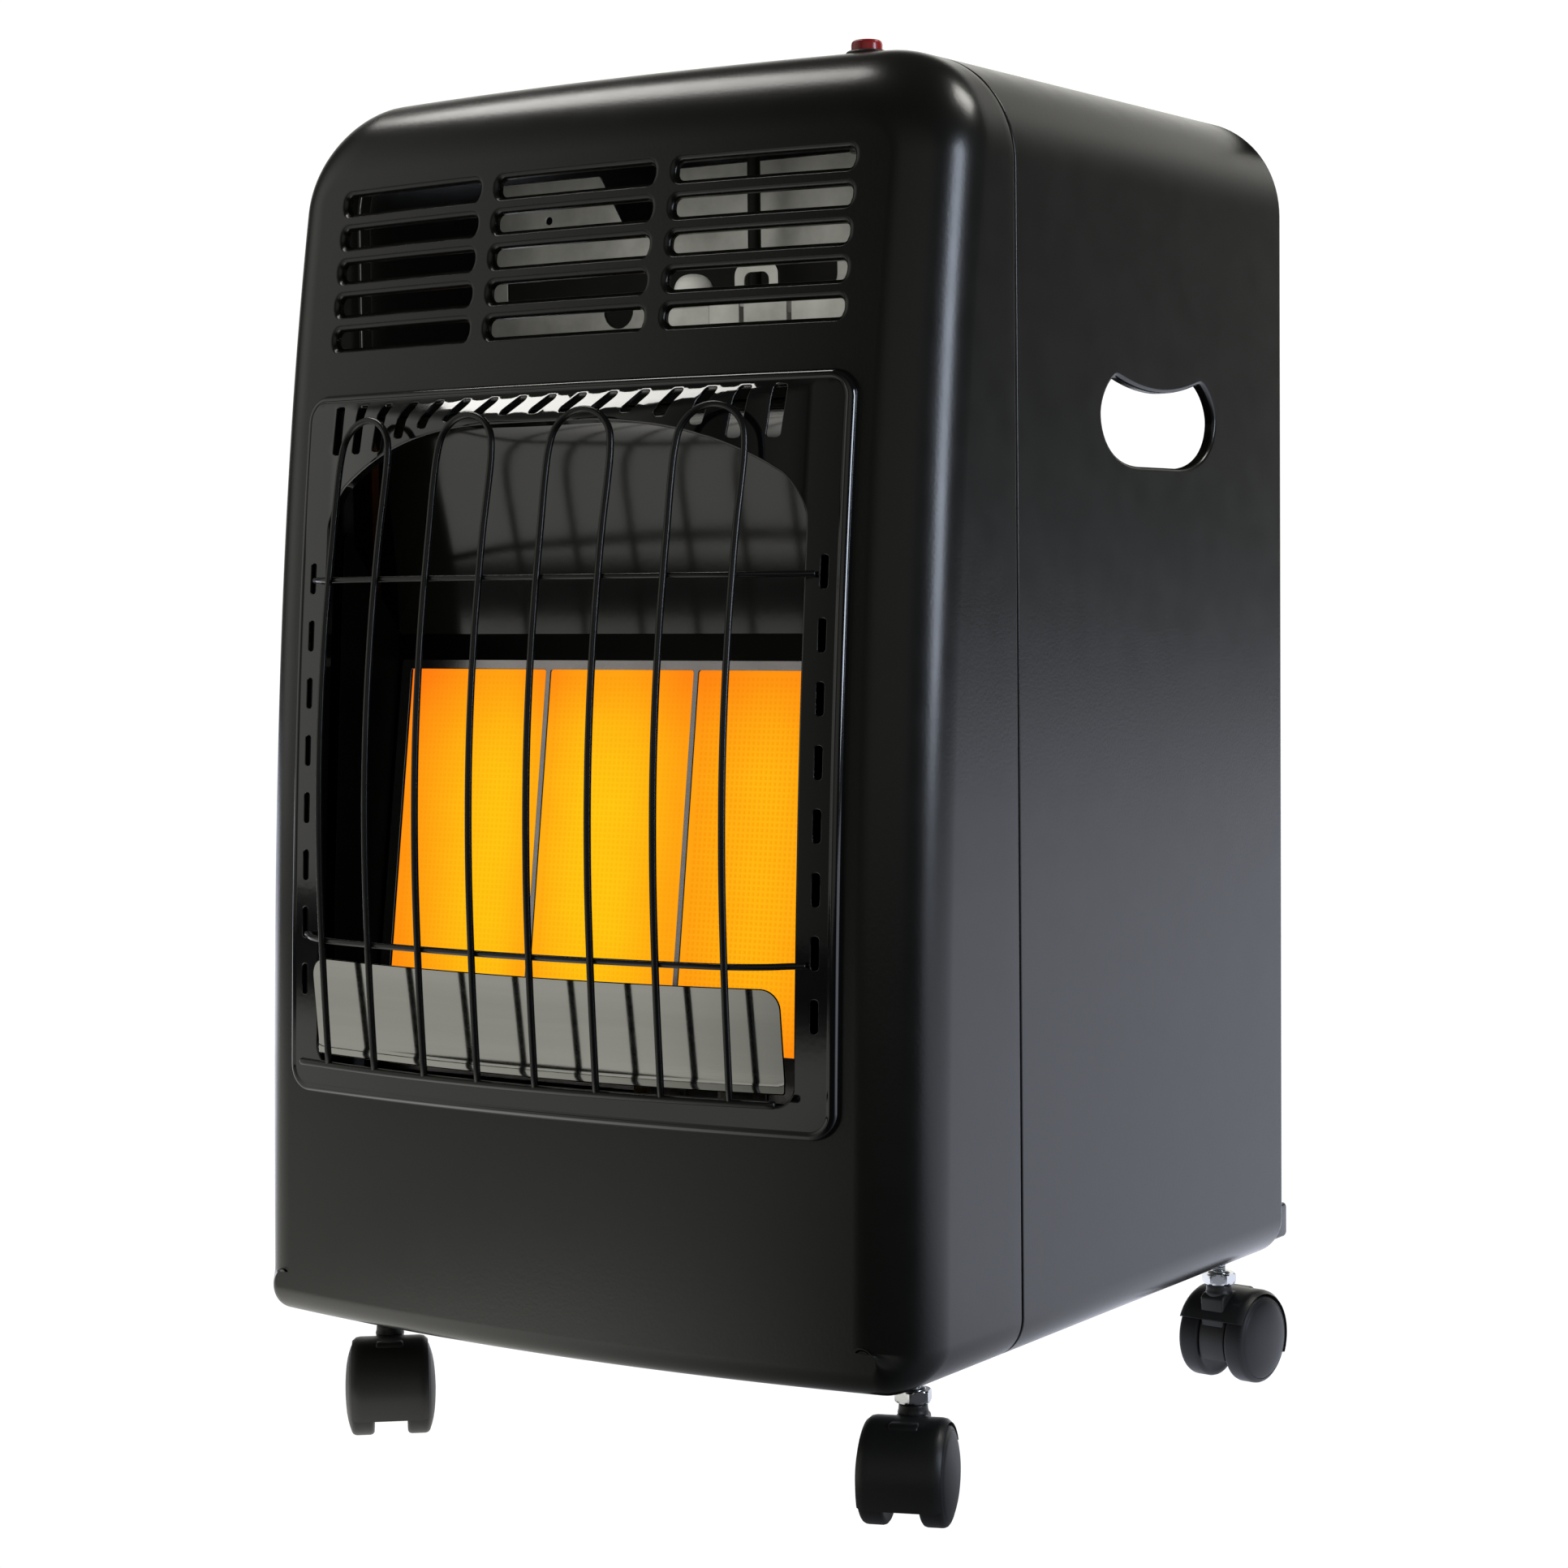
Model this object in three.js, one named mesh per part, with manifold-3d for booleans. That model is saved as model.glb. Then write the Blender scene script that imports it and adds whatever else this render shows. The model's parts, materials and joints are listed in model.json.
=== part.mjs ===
// Portable gas cabinet heater on four twin-wheel casters.
// Millimetres. +Z up, the window faces -Y, +X is to the right seen from the front.
// Cabinet coordinates: z = 0 at the cabinet's bottom edge, y = 0 at the seam between
// the front panel and the casing. The last lines move the whole to its base frame.
import * as THREE from 'three';
import { mergeVertices } from 'three/addons/utils/BufferGeometryUtils.js';
import Module from 'manifold-3d';

const wasm = await Module();
wasm.setup();

// ---------------------------------------------------------------- sizes
const HALF_W = 210;        // half the cabinet's width
const TOP = 647;           // cabinet height
const FLOOR = -75;         // floor below the cabinet's bottom edge
const R_TOP = 57;          // top corner of the wrap
const R_BOT = 22;          // bottom corner of the wrap
const SKIN = 1.2;          // sheet thickness
const GAP = 0.3;           // clearance between touching pieces
const CASING_BACK = 302;   // rear edge of the casing
const BULK_Y = -14;        // front face of the bulkhead
const LEAN = { y0: -111, a: 20.1, b: 12.5, c: 3.8, mid: 312.8, span: 300, bow: 0.00045 };
const LOUVER = { x: [[-159.8, -61.8], [-49.1, 49.1], [61.8, 159.8]], z0: 586.3, pitch: 17.97, h: 9, rows: 5 };
const BEZEL = { hw: 172, z0: 122, z1: 489, r: 14, ihw: 150, iz0: 138, iz1: 431, irt: 14, ir: 10, proud: 5, visor: 14, rise: 37.5, power: 3 }; // iz1 is the foot of the arch
const TILE = { w: 92, h: 195, t: 12, pitch: 94.5, y: -69.3, z: 152, tilt: -8 * Math.PI / 180 };
const GUARD = { r: 1.8, wires: [18, 54, 90, 126], z0: 142, z1: 455, off: 20, belly: 10, crown: 5 };
const HAND = { y: 152.5 };
const WELL = { x0: -20, x1: 76, y0: 12, y1: 72, depth: 26 };
const KNOB = { x: 28, y: 42, r: 18, z0: 624, z1: 642 };
const IGN = { x: 132.5, y: -11 };
const CASTER = { r: 25, trail: 14, web: 8.2 };
const CASTERS = [
  ['front_left', -169, -38, 40], ['front_right', 169, -38, 20],
  ['rear_right', 176, 288, 174], ['rear_left', -176, 288, 163],
];

// ---------------------------------------------------------------- helpers
const solid = (geo) => {
  let g = geo.index ? geo.toNonIndexed() : geo.clone();
  g.deleteAttribute('normal'); g.deleteAttribute('uv');
  g = mergeVertices(g, 1e-4);
  return new wasm.Manifold(new wasm.Mesh({
    numProp: 3,
    vertProperties: new Float32Array(g.attributes.position.array),
    triVerts: new Uint32Array(g.index.array),
  }));
};
const geometry = (m) => {
  const mesh = m.getMesh();
  const g = new THREE.BufferGeometry();
  const n = mesh.numProp, v = mesh.vertProperties, out = new Float32Array(v.length / n * 3);
  for (let i = 0; i < v.length / n; i++) { out[3 * i] = v[n * i]; out[3 * i + 1] = v[n * i + 1]; out[3 * i + 2] = v[n * i + 2]; }
  g.setAttribute('position', new THREE.BufferAttribute(out, 3));
  g.setIndex(new THREE.BufferAttribute(new Uint32Array(mesh.triVerts), 1));
  const flat = g.toNonIndexed();
  flat.computeVertexNormals();
  return flat;
};
const box = (x0, x1, y0, y1, z0, z1) =>
  new THREE.BoxGeometry(x1 - x0, y1 - y0, z1 - z0).translate((x0 + x1) / 2, (y0 + y1) / 2, (z0 + z1) / 2);
const S = (g) => (g instanceof wasm.Manifold ? g : solid(g));
const join = (...gs) => gs.slice(1).reduce((a, g) => a.add(S(g)), S(gs[0]));
const cut = (a, ...gs) => gs.reduce((m, g) => m.subtract(S(g)), S(a));
// shape in (x, z), pushed along Y
const prismY = (shape, y0, y1, seg = 6) =>
  new THREE.ExtrudeGeometry(shape, { depth: y1 - y0, bevelEnabled: false, curveSegments: seg }).rotateX(Math.PI / 2).translate(0, y1, 0);
// shape in (y, z), pushed along X
const prismX = (shape, x0, x1, seg = 6) =>
  new THREE.ExtrudeGeometry(shape, { depth: x1 - x0, bevelEnabled: false, curveSegments: seg }).rotateX(Math.PI / 2).rotateZ(Math.PI / 2).translate(x0, 0, 0);
// shape in (x, y), pushed along Z
const prismZ = (shape, z0, z1, seg = 6) =>
  new THREE.ExtrudeGeometry(shape, { depth: z1 - z0, bevelEnabled: false, curveSegments: seg }).translate(0, 0, z0);
// body of revolution about +Z, profile [r, z] from axis to axis, bottom to top
const turn = (pts, seg = 20) =>
  new THREE.LatheGeometry(pts.map(([r, z]) => new THREE.Vector2(r, z)), seg).rotateX(Math.PI / 2);
const rect = (x0, x1, y0, y1, r = 0) => {
  const s = new THREE.Shape();
  if (!r) { s.moveTo(x0, y0); s.lineTo(x1, y0); s.lineTo(x1, y1); s.lineTo(x0, y1); s.closePath(); return s; }
  s.moveTo(x0 + r, y0); s.lineTo(x1 - r, y0); s.absarc(x1 - r, y0 + r, r, -Math.PI / 2, 0);
  s.lineTo(x1, y1 - r); s.absarc(x1 - r, y1 - r, r, 0, Math.PI / 2);
  s.lineTo(x0 + r, y1); s.absarc(x0 + r, y1 - r, r, Math.PI / 2, Math.PI);
  s.lineTo(x0, y0 + r); s.absarc(x0 + r, y0 + r, r, Math.PI, 1.5 * Math.PI);
  return s;
};
const poly = (pts) => { const s = new THREE.Shape(); s.moveTo(...pts[0]); pts.slice(1).forEach((p) => s.lineTo(...p)); s.closePath(); return s; };
const ring = (r, seg, turnBy = 0) => {
  const pts = [];
  for (let i = 0; i < seg; i++) { const a = turnBy + i / seg * 2 * Math.PI; pts.push([r * Math.cos(a), r * Math.sin(a)]); }
  return poly(pts);
};
const rodZ = (x, y, r, z0, z1, seg = 16) => prismZ(ring(r, seg), z0, z1).translate(x, y, 0);
const rodY = (x, z, r, y0, y1, seg = 16) => prismY(ring(r, seg), y0, y1).translate(x, 0, z);
const rodX = (y, z, r, x0, x1, seg = 16) => prismX(ring(r, seg), x0, x1).translate(0, y, z);
// a tube along points
const along = (pts, r, seg = 8, steps = 0) => {
  const curve = new THREE.CatmullRomCurve3(pts.map((p) => new THREE.Vector3(...p)), false, 'centripetal');
  return new THREE.ExtrudeGeometry(ring(r, seg), { steps: steps || pts.length * 2, bevelEnabled: false, extrudePath: curve });
};
// straight runs with rounded bends
const bent = (pts, radius) => {
  const out = [pts[0]];
  for (let i = 1; i < pts.length - 1; i++) {
    const a = new THREE.Vector3(...pts[i - 1]), b = new THREE.Vector3(...pts[i]), c = new THREE.Vector3(...pts[i + 1]);
    const ra = Math.min(radius, a.distanceTo(b) / 2.2), rc = Math.min(radius, b.distanceTo(c) / 2.2);
    const p = b.clone().add(a.sub(b).normalize().multiplyScalar(ra)), q = b.clone().add(c.sub(b).normalize().multiplyScalar(rc));
    for (const t of [0, 0.33, 0.67, 1]) {
      out.push([
        (1 - t) ** 2 * p.x + 2 * t * (1 - t) * b.x + t * t * q.x,
        (1 - t) ** 2 * p.y + 2 * t * (1 - t) * b.y + t * t * q.y,
        (1 - t) ** 2 * p.z + 2 * t * (1 - t) * b.z + t * t * q.z]);
    }
  }
  out.push(pts[pts.length - 1]);
  return out;
};
// y of the front face: bowed in plan, leaning back towards the top
const faceY = (x, z) => {
  const t = (z - LEAN.mid) / LEAN.span;
  return LEAN.y0 + LEAN.a * t + LEAN.b * t * t + LEAN.c * t * t * t + LEAN.bow * x * x;
};
// rounded outline in (x, z), counter-clockwise seen from the front, with outward normals
const outline = (hw, z0, z1, rt, rb, arc = 5, across = 6, up = 6) => {
  const pts = [];
  const line = (xa, za, xb, zb, n, nx, nz) => { for (let i = 1; i < n; i++) pts.push({ x: xa + (xb - xa) * i / n, z: za + (zb - za) * i / n, nx, nz }); };
  const bend = (cx, cz, r, a0) => { for (let i = 0; i <= arc; i++) { const a = a0 + i / arc * Math.PI / 2; pts.push({ x: cx + r * Math.cos(a), z: cz + r * Math.sin(a), nx: Math.cos(a), nz: Math.sin(a) }); } };
  bend(hw - rb, z0 + rb, rb, -Math.PI / 2); line(hw, z0 + rb, hw, z1 - rt, up, 1, 0);
  bend(hw - rt, z1 - rt, rt, 0); line(hw - rt, z1, -hw + rt, z1, across, 0, 1);
  bend(-hw + rt, z1 - rt, rt, Math.PI / 2); line(-hw, z1 - rt, -hw, z0 + rb, up, -1, 0);
  bend(-hw + rb, z0 + rb, rb, Math.PI); line(-hw + rb, z0, hw - rb, z0, across, 0, -1);
  return pts;
};
// closed skin over rings of points, back to front
const loft = (rings, ends = true) => {
  const pos = [], idx = [], n = rings[0].length;
  rings.forEach((r) => r.forEach((p) => pos.push(...p)));
  for (let k = 0; k < rings.length - 1; k++) for (let i = 0; i < n; i++) {
    const j = (i + 1) % n, a = k * n, b = (k + 1) * n;
    idx.push(a + i, a + j, b + j, a + i, b + j, b + i);
  }
  if (ends) {
    const mid = (r) => r.reduce((s, p) => [s[0] + p[0] / n, s[1] + p[1] / n, s[2] + p[2] / n], [0, 0, 0]);
    const c0 = pos.length / 3; pos.push(...mid(rings[0]));
    const c1 = pos.length / 3; pos.push(...mid(rings[rings.length - 1]));
    const last = (rings.length - 1) * n;
    for (let i = 0; i < n; i++) { const j = (i + 1) % n; idx.push(c0, j, i); idx.push(c1, last + i, last + j); }
  } else {
    const last = (rings.length - 1) * n;
    for (let i = 0; i < n; i++) { const j = (i + 1) % n; idx.push(last + i, last + j, j, last + i, j, i); }
  }
  const g = new THREE.BufferGeometry();
  g.setAttribute('position', new THREE.Float32BufferAttribute(pos, 3));
  g.setIndex(idx);
  return g;
};

const paint = (color, roughness, metalness) => new THREE.MeshStandardMaterial({ color, roughness, metalness });
const MAT = {
  black: paint(0x24251f, 0.42, 0.3), enamel: paint(0x0c0c0c, 0.1, 0.2), wire: paint(0x141414, 0.35, 0.4),
  steel: paint(0x85867f, 0.35, 0.9), dark: paint(0x3a3a38, 0.45, 0.8), galv: paint(0x9a9c98, 0.5, 0.8),
  zinc: paint(0xb9bcbf, 0.3, 1), brass: paint(0xb08d45, 0.35, 1), glow: paint(0xff9a1e, 0.8, 0),
  plastic: paint(0x1b1b1b, 0.5, 0), wheel: paint(0x2c2c2e, 0.55, 0), red: paint(0xc41f1f, 0.35, 0),
  white: paint(0xe8e8e2, 0.4, 0), ceramic: paint(0xe9e4d6, 0.5, 0), lead: paint(0x8a2a1e, 0.5, 0),
  copper: paint(0xb56a3a, 0.35, 1),
};
const root = new THREE.Group();
const add = (name, geo, mat, parent = root) => {
  const m = new THREE.Mesh(geo instanceof wasm.Manifold ? geometry(geo) : geo, MAT[mat]);
  m.name = name; parent.add(m); return m;
};

// ---------------------------------------------------------------- front panel
// One pressed shell: wide roll along the top, tighter ones at the sides and the foot.
const panelSkin = (inset, back) => {
  const base = outline(HALF_W - inset, inset, TOP - inset, R_TOP - inset, R_BOT - inset);
  const roll = (p, side, top, foot) => side * p.nx * p.nx + (p.nz > 0 ? top : foot) * p.nz * p.nz;
  const rings = [base.map((p) => [p.x, back, p.z])];
  for (const deg of [0, 30, 60, 90]) {
    const a = deg * Math.PI / 180;
    rings.push(base.map((p) => {
      const rin = roll(p, 32, 42, 14) - inset, rd = roll(p, 32, 38, 14) - inset;
      const x = p.x - p.nx * rin * (1 - Math.cos(a)), z = p.z - p.nz * rin * (1 - Math.cos(a));
      return [x, faceY(x, z) + inset + rd * (1 - Math.sin(a)), z];
    }));
  }
  const front = rings[rings.length - 1];
  for (const s of [0.72, 0.42, 0.15]) rings.push(front.map(([x, , z]) => { const X = x * s, Z = 323 + (z - 323) * s; return [X, faceY(X, Z) + inset, Z]; }));
  return loft(rings);
};
let panel = cut(panelSkin(0, -GAP), panelSkin(SKIN, 1));
for (const [x0, x1] of LOUVER.x) for (let i = 0; i < LOUVER.rows; i++) {
  const z = LOUVER.z0 - i * LOUVER.pitch;
  panel = cut(panel, prismY(rect(x0, x1, z, z + LOUVER.h, 4), -140, -40, 1));
}
panel = cut(panel, prismY(rect(-166, 166, 128, 483, 9), -150, -60, 2));
panel = cut(panel, box(-185, 185, -80, 2, -2, 4), rodZ(IGN.x, IGN.y, 9.6, 630, 660, 18));
add('front_panel', panel, 'black');

// ---------------------------------------------------------------- casing
const wrap = (inset) => {
  const s = new THREE.Shape(), hw = HALF_W - inset, t = TOP - inset, rt = R_TOP - inset, rb = R_BOT - inset;
  s.moveTo(-hw + rb, inset); s.lineTo(hw - rb, inset); s.absarc(hw - rb, inset + rb, rb, -Math.PI / 2, 0);
  s.lineTo(hw, t - rt); s.absarc(hw - rt, t - rt, rt, 0, Math.PI / 2);
  s.lineTo(-hw + rt, t); s.absarc(-hw + rt, t - rt, rt, Math.PI / 2, Math.PI);
  s.lineTo(-hw, inset + rb); s.absarc(-hw + rb, inset + rb, rb, Math.PI, 1.5 * Math.PI);
  return s;
};
// kidney-shaped hand opening, in (y, z)
const handhold = () => {
  const s = new THREE.Shape(), y = HAND.y;
  s.moveTo(y - 22, 446);
  s.lineTo(y + 22, 446);
  s.bezierCurveTo(y + 44, 446, y + 63, 454, y + 64.5, 471);
  s.bezierCurveTo(y + 64.5, 480, y + 56, 489, y + 48, 492);
  s.bezierCurveTo(y + 30, 487, y + 14, 485, y, 485);
  s.bezierCurveTo(y - 14, 485, y - 30, 487, y - 48, 492);
  s.bezierCurveTo(y - 56, 489, y - 64.5, 480, y - 64.5, 471);
  s.bezierCurveTo(y - 63, 454, y - 44, 446, y - 22, 446);
  return s;
};
let casing = cut(prismY(wrap(0), 0, CASING_BACK, 8), prismY(wrap(SKIN), -1, CASING_BACK - SKIN, 8),
  prismY(rect(-190, 190, 40, 632, 20), 290, 310, 4), box(-190, 190, 290, 310, -2, 80),
  box(-187, 187, -2, 310, -2, 6), prismX(handhold(), -220, 220, 4),
  prismZ(rect(WELL.x0, WELL.x1, WELL.y0, WELL.y1, 6), 640, 660, 3));
add('casing', casing, 'black');

// ---------------------------------------------------------------- base tray with its rear lip
let tray = join(box(-186, 186, -78, 301.4, 1.5, 2.7), rodZ(0, 150, 130, 2, 3.5, 48), box(-186, -184.8, -76, 300, 1.5, 18), box(184.8, 186, -76, 300, 1.5, 18),
  box(-186, 186, 300, 301.4, 1.5, 8.5), box(-186, 186, 300, 322, 7.2, 8.5), box(-203, 203, 302.6, 322, 7.2, 8.5),
  box(-203, 203, 320.8, 322, 7.2, 27), box(-203, 203, 302.6, 322, 25.8, 27),
  box(-203, -201.8, 302.6, 322, 7.2, 27), box(201.8, 203, 302.6, 322, 7.2, 27));
for (const [, x, y] of CASTERS) tray = cut(tray, rodZ(x, y, 4.4, 0, 5, 12));
add('base_tray', tray, 'black');

// ---------------------------------------------------------------- bulkhead
add('bulkhead', prismY(poly([[-180, 3], [180, 3], [180, 26], [205, 26], [205, 497], [-205, 497], [-205, 26], [-180, 26]]),
  BULK_Y, BULK_Y + SKIN), 'galv');

// ---------------------------------------------------------------- rear cover, a shallow pan that hangs on the casing
const cover = cut(prismY(rect(-206, 206, 28, 430, 12), 302.4, 307, 3), prismY(rect(-204.8, 204.8, 29.2, 428.8, 11), 302, 305.8, 3),
  prismY(rect(-60, 60, 398, 418, 9), 300, 310, 3));
add('rear_cover', cover, 'black');

// ---------------------------------------------------------------- window bezel
// Flat ring standing proud of the panel; its top runs forward and down into an arched visor, with rows of slots.
{
  const arch = (x) => BEZEL.rise * (1 - Math.abs(x / BEZEL.ihw) ** BEZEL.power);
  const outer = outline(BEZEL.hw, BEZEL.z0, BEZEL.z1, BEZEL.r, BEZEL.r, 3, 14, 6);
  const inner = outline(BEZEL.ihw, BEZEL.iz0, BEZEL.iz1, BEZEL.irt, BEZEL.ir, 3, 14, 6)
    .map((p) => ({ ...p, z: p.z + Math.max(0, (p.z - BEZEL.iz1 + BEZEL.irt) / BEZEL.irt) * arch(p.x) }));
  const at = (a, off) => outer.map((p) => { const x = p.x - p.nx * a, z = p.z - p.nz * a; return [x, faceY(x, z) + off, z]; });
  const rise = (p) => Math.min(1, Math.max(0, (p.z - BEZEL.iz1 + BEZEL.irt) / BEZEL.irt));
  const edge = (off) => inner.map((p) => [p.x, faceY(p.x, p.z) - BEZEL.proud - BEZEL.visor * rise(p) * Math.max(0, 1 - (p.x / BEZEL.ihw) ** 2) + off, p.z]);
  const rings = [at(2.2, -GAP), at(0, -GAP), at(1, -4.4), at(2.9, -5.6), at(5, -5), edge(0), edge(1.3), at(5.2, -3.7), at(3.6, -3.6)];
  let bezel = solid(loft(rings, false));
  if (bezel.volume() < 0) bezel = solid(loft(rings.reverse(), false));
  for (const sx of [-1, 1]) for (let i = 0; i < 8; i++) {
    const z = 392.5 - 30.1 * i;
    bezel = cut(bezel, box(sx * 160.5 - 2, sx * 160.5 + 2, -140, -60, z - 8, z + 8));
  }
  for (let i = 0; i < 16; i++) {
    const x = -144.5 + i * 18.6, lean = 7.5 - 6 * (x / 145) ** 2;
    const foot = Math.max(457, BEZEL.iz1 + arch(x - lean) + 4.4);
    bezel = cut(bezel, prismY(poly([[x - lean - 3.7, foot], [x - lean + 3.7, foot], [x + 3.7, 482.8], [x - 3.7, 482.8]]), -140, -60));
  }
  add('window_bezel', bezel, 'enamel');
}

// ---------------------------------------------------------------- wire guard
const guardOff = (x, z) => GUARD.off + GUARD.belly * Math.sin(Math.PI * Math.min(1, Math.max(0, (z - GUARD.z0) / (473 - GUARD.z0)))) + GUARD.crown * (1 - (x / 130) ** 2);
const wireY = (x, z) => faceY(x, z) - guardOff(x, z);
const hoop = (xa, xb) => {
  const pts = [], r = (xb - xa) / 2, c = (xa + xb) / 2;
  for (const z of [GUARD.z0, 195, 250, 305, 360, 410, GUARD.z1]) pts.push([xa, wireY(xa, z), z]);
  for (const d of [150, 120, 90, 60, 30]) { const x = c + r * Math.cos(d * Math.PI / 180), z = GUARD.z1 + r * Math.sin(d * Math.PI / 180); pts.push([x, wireY(x, z), z]); }
  for (const z of [GUARD.z1, 410, 360, 305, 250, 195, GUARD.z0]) pts.push([xb, wireY(xb, z), z]);
  return along(pts, GUARD.r, 5, 24);
};
const crossWire = (z, reach, depth) => {
  const pts = [];
  for (const x of [-reach, -143, -126, -84, -42, 0, 42, 84, 126, 143, reach]) {
    const a = Math.abs(x), base = guardOff(x, z) - 2.6;
    const off = a <= 126 ? base : a >= reach ? depth : depth + (guardOff(126, z) - 2.6 - depth) * 0.62;
    pts.push([x, faceY(x, z) - off, z]);
  }
  return along(pts, 1.6, 5, 12);
};
const [w1, w2, w3, w4] = GUARD.wires;
add('wire_guard', join(hoop(-w4, -w3), hoop(-w2, -w1), hoop(w1, w2), hoop(w3, w4), crossWire(391.5, 156.5, 7.2), crossWire(206, 156.5, 7.2),
  along([-148, -126, -84, -42, 0, 42, 84, 126, 148].map((x) => [x, wireY(x, GUARD.z0), GUARD.z0 - 1]), 2, 5, 10)), 'wire');

// lower deflector plate, bowed like the panel, just behind the guard's foot
{
  const ring1 = [], xs = [-147, -110, -74, -37, 0, 37, 74, 110, 147];
  const y = (x) => faceY(x, 168) - 12;
  const face = xs.map((x) => [x, y(x)]), back = xs.slice().reverse().map((x) => [x, y(x) + SKIN]);
  const strip = prismZ(poly([...face, ...back]), 143, 194);
  const bowed = S(strip).intersect(S(prismY(rect(-147, 147, 130, 194, 10), -160, -80, 4)));
  add('lower_deflector', bowed.translate(0, 130, -194).rotate(5.6, 0, 0).translate(0, -130, 194), 'steel');
}

// ---------------------------------------------------------------- burner, on the tilted burner axes
const burner = new THREE.Group();
burner.position.set(0, TILE.y, TILE.z);
burner.rotation.x = TILE.tilt;
root.add(burner);
const SIDES = [['left', -1], ['middle', 0], ['right', 1]];
for (const [name, k] of SIDES) {
  const xc = k * TILE.pitch;
  add(`ceramic_plaque_${name}`, box(xc - TILE.w / 2, xc + TILE.w / 2, 0, TILE.t, 0, TILE.h), 'glow', burner);
  const bell = [[0, -55], [10.5, -55], [10.5, -52], [7.2, -42], [7.2, 4], [0, 4]];
  const bore = [[0, -56], [9.2, -56], [9.2, -52], [5.8, -42], [5.8, 6], [0, 6]];
  const chest = join(box(xc - 46.5, xc + 46.5, TILE.t + GAP, 27, 1, 194), turn(bell, 14).translate(xc, 19.6, 0));
  add(`burner_box_${name}`, cut(chest, box(xc - 45.3, xc + 45.3, TILE.t, 25.8, 2.4, 192.6), turn(bore, 14).translate(xc, 19.6, 0)), 'dark', burner);
  const jet = [[0, -85], [2.4, -85], [2.4, -79.6], [5, -79.6], [5, -70], [3, -68], [1.8, -58], [0, -58]];
  add(`injector_${name}`, turn(jet, 6).translate(xc, 19.6, 0), 'brass', burner);
}
let frame = join(box(-147, 147, -1.3, -GAP, -21, 198.5), box(-147, -145.8, -1.3, 22, -8, 198.5), box(145.8, 147, -1.3, 22, -8, 198.5));
for (const [, k] of SIDES) frame = cut(frame, box(k * TILE.pitch - 45.7, k * TILE.pitch + 45.7, -3, 1, 2, 193.5));
add('burner_frame', frame, 'steel', burner);
let rail = S(box(-112, 112, 14, 25, -92, -80));
for (const [, k] of SIDES) rail = cut(rail, rodZ(k * TILE.pitch, 19.6, 2.8, -88, -78, 10));
add('gas_rail', rail, 'zinc', burner);

// ---------------------------------------------------------------- reflectors
{
  const a = [], b = [];
  for (let i = 0; i <= 10; i++) {
    const t = i / 10 * Math.PI / 2;
    a.push([-75 + 30 * Math.cos(t), 362 + 114 * Math.sin(t)]);
    b.unshift([-75 + 31 * Math.cos(t), 362 + 115 * Math.sin(t)]);
  }
  add('upper_reflector', prismX(poly([...a, ...b]), -147.5, 147.5), 'dark');
}
for (const [name, s] of [['left', -1], ['right', 1]]) {
  const x0 = s < 0 ? -149.8 : 148.8;
  add(`side_reflector_${name}`, prismX(poly([[-101, 152], [-71, 152], [-43, 350], [-43, 364], [-86, 420], [-90, 372], [-100, 220]]), x0, x0 + 1), 'dark');
}

// ---------------------------------------------------------------- gas valve and what stands by it
let valve = join(box(2, 48, -20, 50, 503, 530), rodY(25, 515, 9, 49, 54, 12), rodX(-8, 514, 6, -1, 3, 12));
valve = cut(valve, rodZ(KNOB.x, KNOB.y, 3.9, 516, 535, 14));
add('gas_valve', valve, 'galv');
add('valve_cap', turn([[0, 530.3], [10.2, 530.3], [10.2, 539], [9, 543], [6, 546], [3, 547], [0, 547.2]], 18).translate(23.5, -8, 0), 'white');
add('valve_bracket', cut(join(box(-30, 132, -24, 54, 501, 502.6), box(44, 132, -24, -22.8, 501, 536), prismY(rect(60, 87, 520, 549, 7), -24, -22.8, 3)),
  box(62.5, 65.5, -26, -20, 512, 531), box(91.5, 94.5, -26, -20, 512, 531), prismY(rect(66, 81, 534, 544, 4), -26, -20, 3)), 'galv');
add('heat_shield', cut(prismY(poly([[-165, 503], [150, 503], [150, 600], [138, 612], [-33, 612], [-33, 580], [-66, 580], [-84, 612], [-165, 612]]), 57, 58),
  rodY(25, 515, 8, 50, 60, 14), prismY(rect(-150, 70, 543, 564, 6), 56, 59, 3), rodY(-73, 538, 10, 56, 59, 20)), 'galv');
add('inlet_fitting', S(new THREE.LatheGeometry([[0, 0], [7, 0], [7, 9], [5, 10], [5, 22], [6.2, 24], [4.6, 30], [6.2, 32], [4.6, 38], [4, 44], [0, 44]].map(([r, z]) => new THREE.Vector2(r, z)), 14).translate(25, 54.3, 515)), 'brass');
add('supply_pipe', along(bent([[-1.9, -8, 514], [-20, -9, 514], [-176, -30, 514], [-176, -30, 88], [-176, -61.5, 66.6], [-113.2, -61.7, 66.6]], 16), 4, 6, 28), 'copper');

// control well, knob and spindle
{
  const { x0, x1, y0, y1, depth } = WELL, zt = TOP + GAP, zb = TOP - depth;
  add('control_well', cut(join(prismZ(rect(x0 - 6, x1 + 6, y0 - 5, y1 + 5, 8), zt, zt + 1, 3), prismZ(rect(x0 + 0.4, x1 - 0.4, y0 + 0.4, y1 - 0.4, 6), zb, zt + 1, 3)),
    prismZ(rect(x0 + 1.6, x1 - 1.6, y0 + 1.6, y1 - 1.6, 5), zb + 1.2, zt + 3, 3), rodZ(KNOB.x, KNOB.y, 5, zb - 2, zb + 4, 14)), 'plastic');
}
const knobBody = new THREE.Group(); root.add(knobBody);
add('knob_spindle', rodZ(KNOB.x, KNOB.y, 3.5, 518, 636, 12), 'steel', knobBody);
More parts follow.
